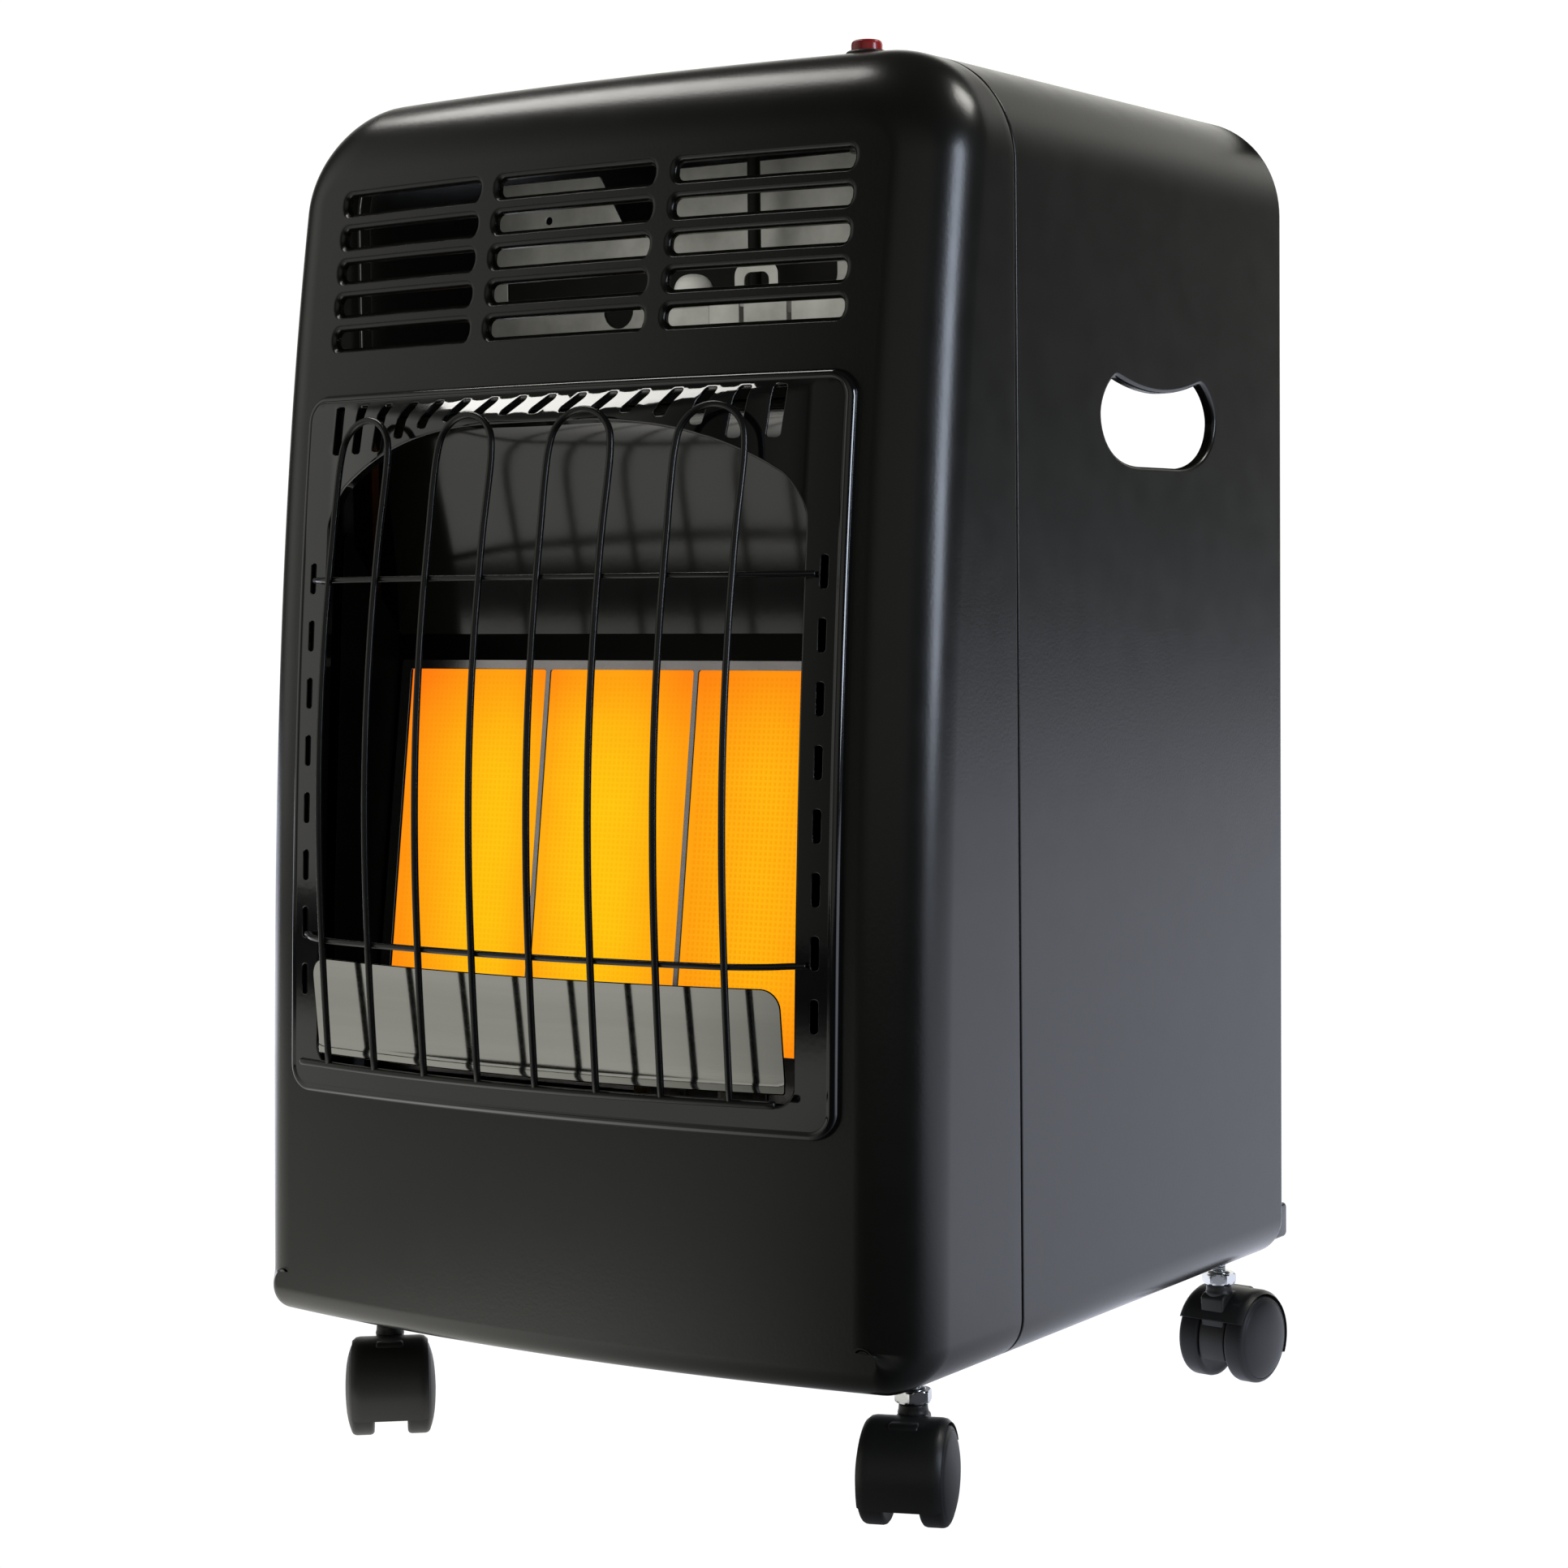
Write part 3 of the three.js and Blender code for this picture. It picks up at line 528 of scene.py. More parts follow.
def tube(points, r, seg=12, cap=True):
    p = [np.array(q, float) for q in points]
    v, f = [], []
    t = p[1] - p[0]
    t = t / np.linalg.norm(t)
    u = np.cross(t, [0, 0, 1.0])
    if np.linalg.norm(u) < 0.1:
        u = np.cross(t, [0, 1.0, 0])
    u /= np.linalg.norm(u)
    n = len(p)
    for i in range(n):
        d = p[min(i + 1, n - 1)] - p[max(i - 1, 0)]
        d = d / max(np.linalg.norm(d), 1e-9)
        u = u - d * (u @ d)
        u /= np.linalg.norm(u)
        w = np.cross(d, u)
        rr = r if not callable(r) else r(i / (n - 1))
        v += [tuple(p[i] + rr * (cos(2 * pi * k / seg) * u + sin(2 * pi * k / seg) * w)) for k in range(seg)]
    for i in range(n - 1):
        f += [(i * seg + k, (i + 1) * seg + k, (i + 1) * seg + (k + 1) % seg, i * seg + (k + 1) % seg) for k in range(seg)]
    if cap:
        for end, s in ((0, -1), (n - 1, 1)):
            d = p[1] - p[0] if end == 0 else p[-1] - p[-2]
            d = d / np.linalg.norm(d) * s
            rr = r if not callable(r) else r(0 if end == 0 else 1)
            prev = [end * seg + k for k in range(seg)]
            base = np.array(v[end * seg:end * seg + seg])
            for a in (30, 60):
                now = len(v)
                v += [tuple(p[end] + (q - p[end]) * cos(rad(a)) + d * rr * 0.6 * sin(rad(a))) for q in base]
                nxt = list(range(now, now + seg))
                f += [(prev[k], prev[(k + 1) % seg], nxt[(k + 1) % seg], nxt[k]) for k in range(seg)]
                prev = nxt
            v.append(tuple(p[end] + d * rr * 0.6))
            f += [(prev[k], prev[(k + 1) % seg], len(v) - 1) for k in range(seg)]
    return np.array(v, float), f


def fixed(part):
    """Makes the faces' winding consistent and outward."""
    import bmesh
    bm = bmesh.new()
    vs = [bm.verts.new(p) for p in part[0]]
    for q in part[1]:
        try:
            bm.faces.new([vs[i] for i in q])
        except ValueError:
            pass
    bmesh.ops.recalc_face_normals(bm, faces=bm.faces)
    bm.verts.index_update()
    v = np.array([p.co for p in bm.verts])
    f = [tuple(p.index for p in q.verts) for q in bm.faces]
    bm.free()
    return v, f


def block(x0, x1, y0, y1, z0, z1, r=0.6, seg=3):
    """A box with rounded edges."""
    import bmesh
    bm = bmesh.new()
    bmesh.ops.create_cube(bm, size=1)
    for q in bm.verts:
        q.co = ((x0 + x1) / 2 + q.co.x * (x1 - x0), (y0 + y1) / 2 + q.co.y * (y1 - y0), (z0 + z1) / 2 + q.co.z * (z1 - z0))
    bmesh.ops.bevel(bm, geom=bm.edges[:] + bm.verts[:], offset=r, segments=seg, profile=0.5, affect="EDGES")
    bm.verts.index_update()
    v = np.array([p.co for p in bm.verts])
    f = [tuple(p.index for p in q.verts) for q in bm.faces]
    bm.free()
    return v, f


def prism(outline, axis, a, b, r=0.5, arc=3):
    """A flat outline pushed along an axis ('x', 'y' or 'z') from a to b, with rounded rims."""
    import bmesh
    loop = np.asarray(outline, float)
    low = [(a + r * (1 - sin(pi / 2 * (1 - k / arc))), -r * (1 - cos(pi / 2 * (1 - k / arc)))) for k in range(arc + 1)]
    high = [(b - (h - a), g) for h, g in reversed(low)]
    rings = low + high
    v, f = [], []
    n = len(loop)
    for h, g in rings:
        at = grow(loop, g)
        for p in at:
            v.append({"x": (h, p[0], p[1]), "y": (p[0], h, p[1]), "z": (p[0], p[1], h)}[axis])
    for k in range(len(rings) - 1):
        f += [(k * n + i, k * n + (i + 1) % n, (k + 1) * n + (i + 1) % n, (k + 1) * n + i) for i in range(n)]
    f.append(tuple(range(n)))
    f.append(tuple((len(rings) - 1) * n + i for i in range(n)))
    return fixed((np.array(v, float), f))


# ------------------------------------------------------------------ materials
def material(name, base, rough, metal=0.0, spec=0.5, coat=0.0, coat_rough=0.1, tint=None, var=0.12, var_scale=9.0,
             bump=0.05, grain=900.0, rough_var=0.06, stretch=(1, 1, 1), aniso=0.0, wear=None, emission=None, ior=1.5, sheen=0.0):
    """Principled surface with slow colour drift, roughness drift and a fine grain."""
    m = bpy.data.materials.new(name)
    m.use_nodes = True
    nt = m.node_tree
    nt.nodes.clear()
    add = nt.nodes.new
    link = nt.links.new
    out = add("ShaderNodeOutputMaterial")
    b = add("ShaderNodeBsdfPrincipled")
    link(b.outputs[0], out.inputs["Surface"])
    b.inputs["Metallic"].default_value = metal
    b.inputs["Specular IOR Level"].default_value = spec
    b.inputs["IOR"].default_value = ior
    b.inputs["Coat Weight"].default_value = coat
    b.inputs["Coat Roughness"].default_value = coat_rough
    if aniso:
        b.inputs["Anisotropic"].default_value = aniso
    if sheen:
        b.inputs["Sheen Weight"].default_value = sheen
    tc = add("ShaderNodeTexCoord")
    mp = add("ShaderNodeMapping")
    mp.inputs["Scale"].default_value = stretch
    link(tc.outputs["Object"], mp.inputs["Vector"])
    slow = add("ShaderNodeTexNoise")
    slow.inputs["Scale"].default_value = var_scale
    slow.inputs["Detail"].default_value = 5
    slow.inputs["Roughness"].default_value = 0.6
    link(mp.outputs[0], slow.inputs["Vector"])
    ramp = add("ShaderNodeValToRGB")
    lo = [c * (1 - var) for c in base]
    hi = [min(1, c * (1 + var)) for c in (tint or base)]
    ramp.color_ramp.elements[0].position = 0.32
    ramp.color_ramp.elements[0].color = (*lo, 1)
    ramp.color_ramp.elements[1].position = 0.7
    ramp.color_ramp.elements[1].color = (*hi, 1)
    link(slow.outputs["Fac"], ramp.inputs["Fac"])
    colour = ramp.outputs["Color"]
    fine = add("ShaderNodeTexNoise")
    fine.inputs["Scale"].default_value = grain
    fine.inputs["Detail"].default_value = 3
    link(mp.outputs[0], fine.inputs["Vector"])
    if wear:
        geo = add("ShaderNodeNewGeometry")
        edge = add("ShaderNodeMapRange")
        edge.inputs["From Min"].default_value = wear[1]
        edge.inputs["From Max"].default_value = wear[2]
        link(geo.outputs["Pointiness"], edge.inputs["Value"])
        mix = add("ShaderNodeMix")
        mix.data_type = "RGBA"
        link(edge.outputs[0], mix.inputs["Factor"])
        link(colour, mix.inputs["A"])
        mix.inputs["B"].default_value = (*wear[0], 1)
        colour = mix.outputs["Result"]
    link(colour, b.inputs["Base Color"])
    rr = add("ShaderNodeMapRange")
    rr.inputs["To Min"].default_value = max(0.02, rough - rough_var)
    rr.inputs["To Max"].default_value = min(1, rough + rough_var)
    mid = add("ShaderNodeTexNoise")
    mid.inputs["Scale"].default_value = var_scale * 6
    mid.inputs["Detail"].default_value = 4
    link(mp.outputs[0], mid.inputs["Vector"])
    link(mid.outputs["Fac"], rr.inputs["Value"])
    link(rr.outputs[0], b.inputs["Roughness"])
    if bump:
        bp = add("ShaderNodeBump")
        bp.inputs["Strength"].default_value = bump
        bp.inputs["Distance"].default_value = 0.0004
        link(fine.outputs["Fac"], bp.inputs["Height"])
        link(bp.outputs[0], b.inputs["Normal"])
        if coat:
            link(bp.outputs[0], b.inputs["Coat Normal"])
    if emission:
        b.inputs["Emission Color"].default_value = (*emission[0], 1)
        b.inputs["Emission Strength"].default_value = emission[1]
    return m


MAT = {
    "powder_coat": material("powder_coat", (0.0078, 0.0080, 0.0062), 0.245, spec=0.46, var=0.1, bump=0.10, grain=620, rough_var=0.035),
    "gloss_enamel": material("gloss_enamel", (0.004, 0.004, 0.004), 0.09, spec=0.5, coat=0.6, coat_rough=0.04, bump=0.015, grain=260, rough_var=0.03),
    "guard_coating": material("guard_coating", (0.006, 0.006, 0.0055), 0.26, spec=0.45, bump=0.05, grain=1500, rough_var=0.05),
    "polished_steel": material("polished_steel", (0.44, 0.42, 0.42), 0.24, metal=1.0, bump=0.04, grain=700, stretch=(1, 1, 9), rough_var=0.05, var=0.06),
    "bright_sheet": material("bright_sheet", (0.43, 0.43, 0.40), 0.09, metal=1.0, bump=0.015, grain=500, stretch=(0.3, 1, 8), rough_var=0.03, var=0.07, var_scale=6),
    "heat_tinted_steel": material("heat_tinted_steel", (0.115, 0.114, 0.108), 0.34, metal=1.0, tint=(0.15, 0.14, 0.125), bump=0.06, grain=500, stretch=(6, 1, 1), rough_var=0.08, var=0.16, var_scale=7),
    "hood_enamel": material("hood_enamel", (0.010, 0.010, 0.0085), 0.10, spec=1.0, bump=0.015, grain=300, rough_var=0.02, var=0.2, var_scale=12),
    # near-black steel; it also stands in as painted shade on the shaded inner pieces listed further down, the knob
    # spindle and the sheet behind the heat shield
    "sooted_steel": material("sooted_steel", (0.009, 0.009, 0.0078), 0.5, spec=0.14, bump=0.06, grain=500, rough_var=0.06, var=0.25, var_scale=16),
    "galvanised_sheet": material("galvanised_sheet", (0.42, 0.42, 0.39), 0.45, metal=0.75, tint=(0.50, 0.50, 0.47), bump=0.05, grain=240, var=0.16, var_scale=26),
    "zinc_plate": material("zinc_plate", (0.62, 0.63, 0.63), 0.2, metal=1.0, bump=0.03, grain=1200, var=0.08),
    "brass": material("brass", (0.58, 0.38, 0.13), 0.27, metal=1.0, tint=(0.66, 0.45, 0.2), bump=0.03, grain=900),
    "copper_tube": material("copper_tube", (0.58, 0.25, 0.11), 0.3, metal=1.0, tint=(0.45, 0.2, 0.1), bump=0.03, grain=700, var=0.18),
    "black_plastic": material("black_plastic", (0.014, 0.014, 0.0135), 0.40, spec=0.38, bump=0.12, grain=1500, rough_var=0.05),
    "wheel_plastic": material("wheel_plastic", (0.014, 0.014, 0.015), 0.44, spec=0.24, bump=0.10, grain=1300, rough_var=0.06),
    "red_plastic": material("red_plastic", (0.42, 0.02, 0.022), 0.26, spec=0.5, coat=0.2, bump=0.03, grain=900, var=0.1),
    "white_plastic": material("white_plastic", (0.80, 0.80, 0.76), 0.42, spec=0.4, bump=0.06, grain=900, var=0.05),
    "white_ceramic": material("white_ceramic", (0.78, 0.74, 0.66), 0.25, spec=0.5, coat=0.4, bump=0.02, grain=700, var=0.06),
    "lead_sleeve": material("lead_sleeve", (0.22, 0.025, 0.018), 0.5, spec=0.4, bump=0.08, grain=900),
}


def plaque_material():
    """Glowing tile: deep orange at its edges, yellow in the middle, darker in every hole."""
    m = bpy.data.materials.new("glowing_plaque")
    m.use_nodes = True
    nt = m.node_tree
    nt.nodes.clear()
    add, link = nt.nodes.new, nt.links.new
    out = add("ShaderNodeOutputMaterial")
    b = add("ShaderNodeBsdfPrincipled")
    link(b.outputs[0], out.inputs["Surface"])
    uv = add("ShaderNodeUVMap")
    uv.uv_map = "UVMap"
    sep = add("ShaderNodeSeparateXYZ")
    link(uv.outputs[0], sep.inputs[0])

    def ramp(value, stops):
        r = add("ShaderNodeValToRGB")
        r.color_ramp.interpolation = "B_SPLINE"
        els = r.color_ramp.elements
        while len(els) > 1:
            els.remove(els[-1])
        els[0].position, els[0].color = stops[0][0], (*stops[0][1], 1)
        for p, c in stops[1:]:
            els.new(p).color = (*c, 1)
        link(value, r.inputs["Fac"])
        return r.outputs["Color"]

    glow = [(0, .29), (.04, .35), (.09, .42), (.15, .52), (.21, .58), (.26, .57), (.30, .46), (.335, .41), (.36, .47), (.42, .58), (.50, .60), (.56, .53), (.62, .42), (.665, .37),
            (.70, .39), (.75, .43), (.80, .48), (.84, .50), (.89, .46), (.95, .37), (1.0, .30)]
    across = ramp(sep.outputs["X"], [(p, (1.0, g, 0.006)) for p, g in glow])
    along_ = ramp(sep.outputs["Y"], [(0.0, (1, 0.62, 0.8)), (0.06, (1, 0.74, 1)), (0.16, (1, 0.92, 1)), (0.30, (1, 1, 1)), (0.70, (1, 1.0, 1)), (0.84, (1, 0.86, 1)), (0.93, (1, 0.70, 1)), (1.0, (1, 0.60, 1))])
    mul = add("ShaderNodeMix")
    mul.data_type = "RGBA"
    mul.blend_type = "MULTIPLY"
    mul.inputs["Factor"].default_value = 1.0
    link(across, mul.inputs["A"])
    link(along_, mul.inputs["B"])
    noise = add("ShaderNodeTexNoise")
    noise.inputs["Scale"].default_value = 9
    noise.inputs["Detail"].default_value = 4
    link(uv.outputs[0], noise.inputs["Vector"])
    dim = ramp(noise.outputs["Fac"], [(0.3, (1, 0.93, 0.9)), (0.7, (1, 1.0, 1.0))])
    mul2 = add("ShaderNodeMix")
    mul2.data_type = "RGBA"
    mul2.blend_type = "MULTIPLY"
    mul2.inputs["Factor"].default_value = 1.0
    link(mul.outputs["Result"], mul2.inputs["A"])
    link(dim, mul2.inputs["B"])
    hole = add("ShaderNodeAttribute")
    hole.attribute_name = "hole"
    mul3 = add("ShaderNodeMix")
    mul3.data_type = "RGBA"
    mul3.blend_type = "MIX"
    link(hole.outputs["Fac"], mul3.inputs["Factor"])
    link(mul2.outputs["Result"], mul3.inputs["A"])
    mul3.inputs["B"].default_value = (0.9, 0.22, 0.0, 1)
    link(mul3.outputs["Result"], b.inputs["Emission Color"])
    b.inputs["Emission Strength"].default_value = 1.0
    b.inputs["Base Color"].default_value = (0.02, 0.008, 0.0, 1)
    b.inputs["Specular IOR Level"].default_value = 0.1
    b.inputs["Roughness"].default_value = 0.85
    return m


MAT["glowing_plaque"] = plaque_material()

# every carried-over CAD node gets its slot's material, except the inner pieces listed below: they lie in shade and get
# the near-black sooted_steel instead, as painted shade
SHADED_INSIDE = ("knob_spindle", "bulkhead", "burner_box_left", "burner_box_middle", "burner_box_right")
SLOT_OF = {s["node"]: s["material_slot"] for s in frame["record"]["subparts"]}
for name, o in frame["nodes"].items():
    o.data.materials.clear()
    # pieces in the list get the near-black sooted_steel in place of their own finish: painted shade for the dark inside
    o.data.materials.append(MAT["sooted_steel" if name in SHADED_INSIDE else SLOT_OF[name]])


# ------------------------------------------------------------------ front panel
def outline(hw, z0, z1, rt, rb, arc, across, up):
    """Rounded outline with outward normals, from the lower right corner, counter-clockwise."""
    pts = []

    def bend(cx, cz, r, a0):
        for i in range(arc + 1):
            a = rad(a0 + 90 * i / arc)
            pts.append((cx + r * cos(a), cz + r * sin(a), cos(a), sin(a)))

    def line(xa, za, xb, zb, n, nx, nz):
        for i in range(1, n):
            pts.append((xa + (xb - xa) * i / n, za + (zb - za) * i / n, nx, nz))

    bend(hw - rb, z0 + rb, rb, -90)
    line(hw, z0 + rb, hw, z1 - rt, up, 1, 0)
    bend(hw - rt, z1 - rt, rt, 0)
    line(hw - rt, z1, -hw + rt, z1, across, 0, 1)
    bend(-hw + rt, z1 - rt, rt, 90)
    line(-hw, z1 - rt, -hw, z0 + rb, up, -1, 0)
    bend(-hw + rb, z0 + rb, rb, 180)
    line(-hw + rb, z0, hw - rb, z0, across, 0, -1)
    return np.array(pts)


def front_panel():
    base = outline(HALF_W, 0, TOP, R_TOP, R_BOT, 20, 48, 70)
    px, pz, nx, nz = base.T
    top = nz > 0
    rin = 32 * nx ** 2 + np.where(top, 42, 14) * nz ** 2
    rd = 32 * nx ** 2 + np.where(top, 38, 14) * nz ** 2

    def ring(a):
        x, z = px - nx * rin * (1 - cos(a)), pz - nz * rin * (1 - cos(a))
        return arr(x, face_y(x, z) + rd * (1 - sin(a)), z)

    seam = -0.35
    rings = []
    for k in (3, 2, 1):
        a = k / 3 * pi / 2
        rings.append(arr(px - nx * 1.3 * (1 - cos(a)), seam - 1.3 * (1 - sin(a)), pz - nz * 1.3 * (1 - cos(a))))
    first = ring(0)
    rings.append(arr(px, seam - 1.3, pz))
    for t in (0.2, 0.4, 0.6, 0.8):
        rings.append(arr(px, seam - 1.3, pz) * (1 - t) + first * t)
    for k in range(17):
        rings.append(ring(k / 17 * pi / 2))
    last = ring(pi / 2)
    edge = last[:, [0, 2]]
    holes, folds = [], []
    for x0, x1 in SLOT_X:
        for i in range(5):
            z = SLOT_Z0 - i * SLOT_PITCH
            holes.append(rounded(x0, x1, z, z + SLOT_H, 3.6, arc=5, step=8))
            folds.append((3.3, 4.8, 6, True))
    holes.append(rounded(-164, 164, 130, 481, 9, arc=6, step=12))
    folds.append((1.5, 3, 3))
    part, ends = pressed(edge, holes, lambda x, z: arr(x, face_y(x, z), z), face_n, 7.0, folds)
    stack = np.array(rings + [last])
    du = np.roll(stack, -1, axis=1) - np.roll(stack, 1, axis=1)
    dv = np.empty_like(stack)
    dv[1:-1] = stack[2:] - stack[:-2]
    dv[0] = stack[1] - stack[0]
    dv[-1] = stack[-1] - stack[-2]
    n = np.cross(du, dv)
    n /= np.maximum(np.linalg.norm(n, axis=2, keepdims=True), 1e-9)
    mid = np.array([0, 0, 323.0])
    if (n[8] * (stack[8] - mid)).sum() < 0:
        n = -n
    prev = None
    for k in range(len(rings)):
        now = part.points(stack[k], n[k])
        if prev:
            part.bridge(prev, now)
        prev = now
    part.bridge(prev, ends[0])
    part.thicken(1.0)
    obj("front_shell", part, MAT["powder_coat"], "cabinet", ["front_panel"])


front_panel()


# ------------------------------------------------------------------ casing
def hand_outline():
    y = HAND_Y
    half = [((0, 446), (14, 446), (18, 446), (22, 446)),
            ((22, 446), (44, 446), (63, 454), (64.5, 471)),
            ((64.5, 471), (64.5, 480), (56, 489), (48, 492)),
            ((48, 492), (30, 487), (14, 485), (0, 485))]
    right = [tuple((y + p[0], p[1]) for p in seg) for seg in half]
    left = [tuple((y - p[0], p[1]) for p in reversed(seg)) for seg in reversed(half)]
    pts = bezier_loop(right + left, 14)
    # takes the point off each tip
    for _ in range(1):
        pts = 0.5 * pts + 0.25 * (np.roll(pts, 1, axis=0) + np.roll(pts, -1, axis=0))
    return pts


def casing():
    rt, rb = R_TOP, R_BOT
    # unrolled along the wrap: lower left, up, over the top, down to the lower right
    lens = [rb * pi / 2, TOP - rt - rb, rt * pi / 2, 2 * (HALF_W - rt), rt * pi / 2, TOP - rt - rb, rb * pi / 2]
    cum = np.concatenate([[0], np.cumsum(lens)])
    total = cum[-1]

    def at(s):
        s = np.asarray(s, float)
        x, z = np.zeros_like(s), np.zeros_like(s)
        nx, nz = np.zeros_like(s), np.zeros_like(s)
        k = np.clip(np.searchsorted(cum, s, side="right") - 1, 0, 6)
        d = s - cum[k]
        for i in range(7):
            m = k == i
            if not m.any():
                continue
            t = d[m]
            if i == 0:
                a = -pi / 2 - t / rb
                x[m], z[m], nx[m], nz[m] = -HALF_W + rb + rb * np.cos(a), rb + rb * np.sin(a), np.cos(a), np.sin(a)
            elif i == 1:
                x[m], z[m], nx[m] = -HALF_W, rb + t, -1
            elif i == 2:
                a = pi - t / rt
                x[m], z[m], nx[m], nz[m] = -HALF_W + rt + rt * np.cos(a), TOP - rt + rt * np.sin(a), np.cos(a), np.sin(a)
            elif i == 3:
                x[m], z[m], nz[m] = -HALF_W + rt + t, TOP, 1
            elif i == 4:
                a = pi / 2 - t / rt
                x[m], z[m], nx[m], nz[m] = HALF_W - rt + rt * np.cos(a), TOP - rt + rt * np.sin(a), np.cos(a), np.sin(a)
            elif i == 5:
                x[m], z[m], nx[m] = HALF_W, TOP - rt - t, 1
            else:
                a = -t / rb
                x[m], z[m], nx[m], nz[m] = HALF_W - rb + rb * np.cos(a), rb + rb * np.sin(a), np.cos(a), np.sin(a)
        return x, z, nx, nz

    def place(y, s):
        x, z, _, _ = at(s)
        return arr(x, y, z)

    def normal(y, s):
        _, _, nx, nz = at(s)
        return arr(nx, 0 * nx, nz)

    hand = hand_outline()
    left = np.stack([hand[:, 0], cum[1] + hand[:, 1] - rb], 1)
    right = np.stack([hand[:, 0], cum[5] + (TOP - rt) - hand[:, 1]], 1)[::-1]
    well = rounded(12, 72, cum[3] + (HALF_W - rt) - 20, cum[3] + (HALF_W - rt) + 76, 6, arc=6, step=10)
    # front edge rolls in at the seam, rear edge rolls into the flange
    y0, y1 = 0.35, BACK
    arcs = []
    for i, c in enumerate(lens):
        n = 14 if i in (0, 6) else 22 if i in (2, 4) else int(c / 12)
        arcs += [cum[i] + c * k / n for k in range(n)]
    arcs = np.array(arcs + [total])

    def lines(gx, gy):
        return gx, arcs[1:-1]

    ys = np.linspace(y0 + 1.3, y1 - 3, 26)
    outer = np.concatenate([
        np.stack([ys, np.full(len(ys), 0.0)], 1)[:-1],
        np.stack([np.full(len(arcs), y1 - 3), arcs], 1)[:-1],
        np.stack([ys[::-1], np.full(len(ys), total)], 1)[:-1],
        np.stack([np.full(len(arcs), y0 + 1.3), arcs[::-1]], 1)[:-1]])
    part, ends = pressed(outer, [left, right, well], place, normal, (11.6, 12), [(2.2, 6.0, 5), (2.2, 6.0, 5), (1.2, 1.6, 3)], extra=lines)
    n_y, n_s = len(ys) - 1, len(arcs) - 1
    loop = ends[0]
    rear = loop[n_y:n_y + n_s + 1]
    front = loop[2 * n_y + n_s:] + loop[:1]
    # front: quarter roll inward
    ax, az, anx, anz = at(arcs)
    ring = front
    ax_f, az_f, anx_f, anz_f = ax[::-1], az[::-1], anx[::-1], anz[::-1]
    for k in (1, 2, 3):
        a = k / 3 * pi / 2
        v = arr(ax_f - anx_f * 1.3 * (1 - cos(a)), y0 + 1.3 * (1 - sin(a)), az_f - anz_f * 1.3 * (1 - cos(a)))
        nxt = part.points(v, arr(anx_f * cos(a), -sin(a) + 0 * anx_f, anz_f * cos(a)))
        part.bridge(ring, nxt, closed=False)
        ring = nxt
    nxt = part.points(arr(ax_f - anx_f * 8, y0, az_f - anz_f * 8), arr(0 * anx_f, -1, 0 * anx_f))
    part.bridge(ring, nxt, closed=False)
    ring = rear
    for k in (1, 2, 3, 4):
        a = k / 4 * pi / 2
        v = arr(ax - anx * 3 * (1 - cos(a)), y1 - 3 * (1 - sin(a)), az - anz * 3 * (1 - cos(a)))
        nxt = part.points(v, arr(anx * cos(a), sin(a) + 0 * anx, anz * cos(a)))
        part.bridge(ring, nxt, closed=False)
        ring = nxt
    # rear flange: from the rolled edge in to the rounded opening
    inner = []
    for x, z, nx, nz in zip(ax, az, anx, anz):
        if nz > 0.999:
            p = (x, 632.0)
        elif nx < -0.5 and abs(nz) < 0.01:
            p = (-190.0, z)
        elif nx > 0.5 and abs(nz) < 0.01:
            p = (190.0, z)
        elif z > 300:
            c = (math.copysign(HALF_W - R_TOP, x), TOP - R_TOP)
            p = (c[0] + nx * 37, c[1] + nz * 42)
        else:
            p = (math.copysign(190, x), z)
        inner.append(p)
    inner = np.array(inner)
    nxt = part.points(arr(inner[:, 0], y1, inner[:, 1]), arr(0 * anx, 1, 0 * anx))
    part.bridge(ring, nxt, closed=False)
    part.thicken(1.0)
    obj("casing_shell", part, MAT["powder_coat"], "cabinet", ["casing"])


casing()


# ------------------------------------------------------------------ window bezel
def arch_z(x):
    """Top edge of the window's inner opening."""
    return 431 + 37.5 * (1 - np.abs(np.asarray(x, float) / 150.0) ** 3)


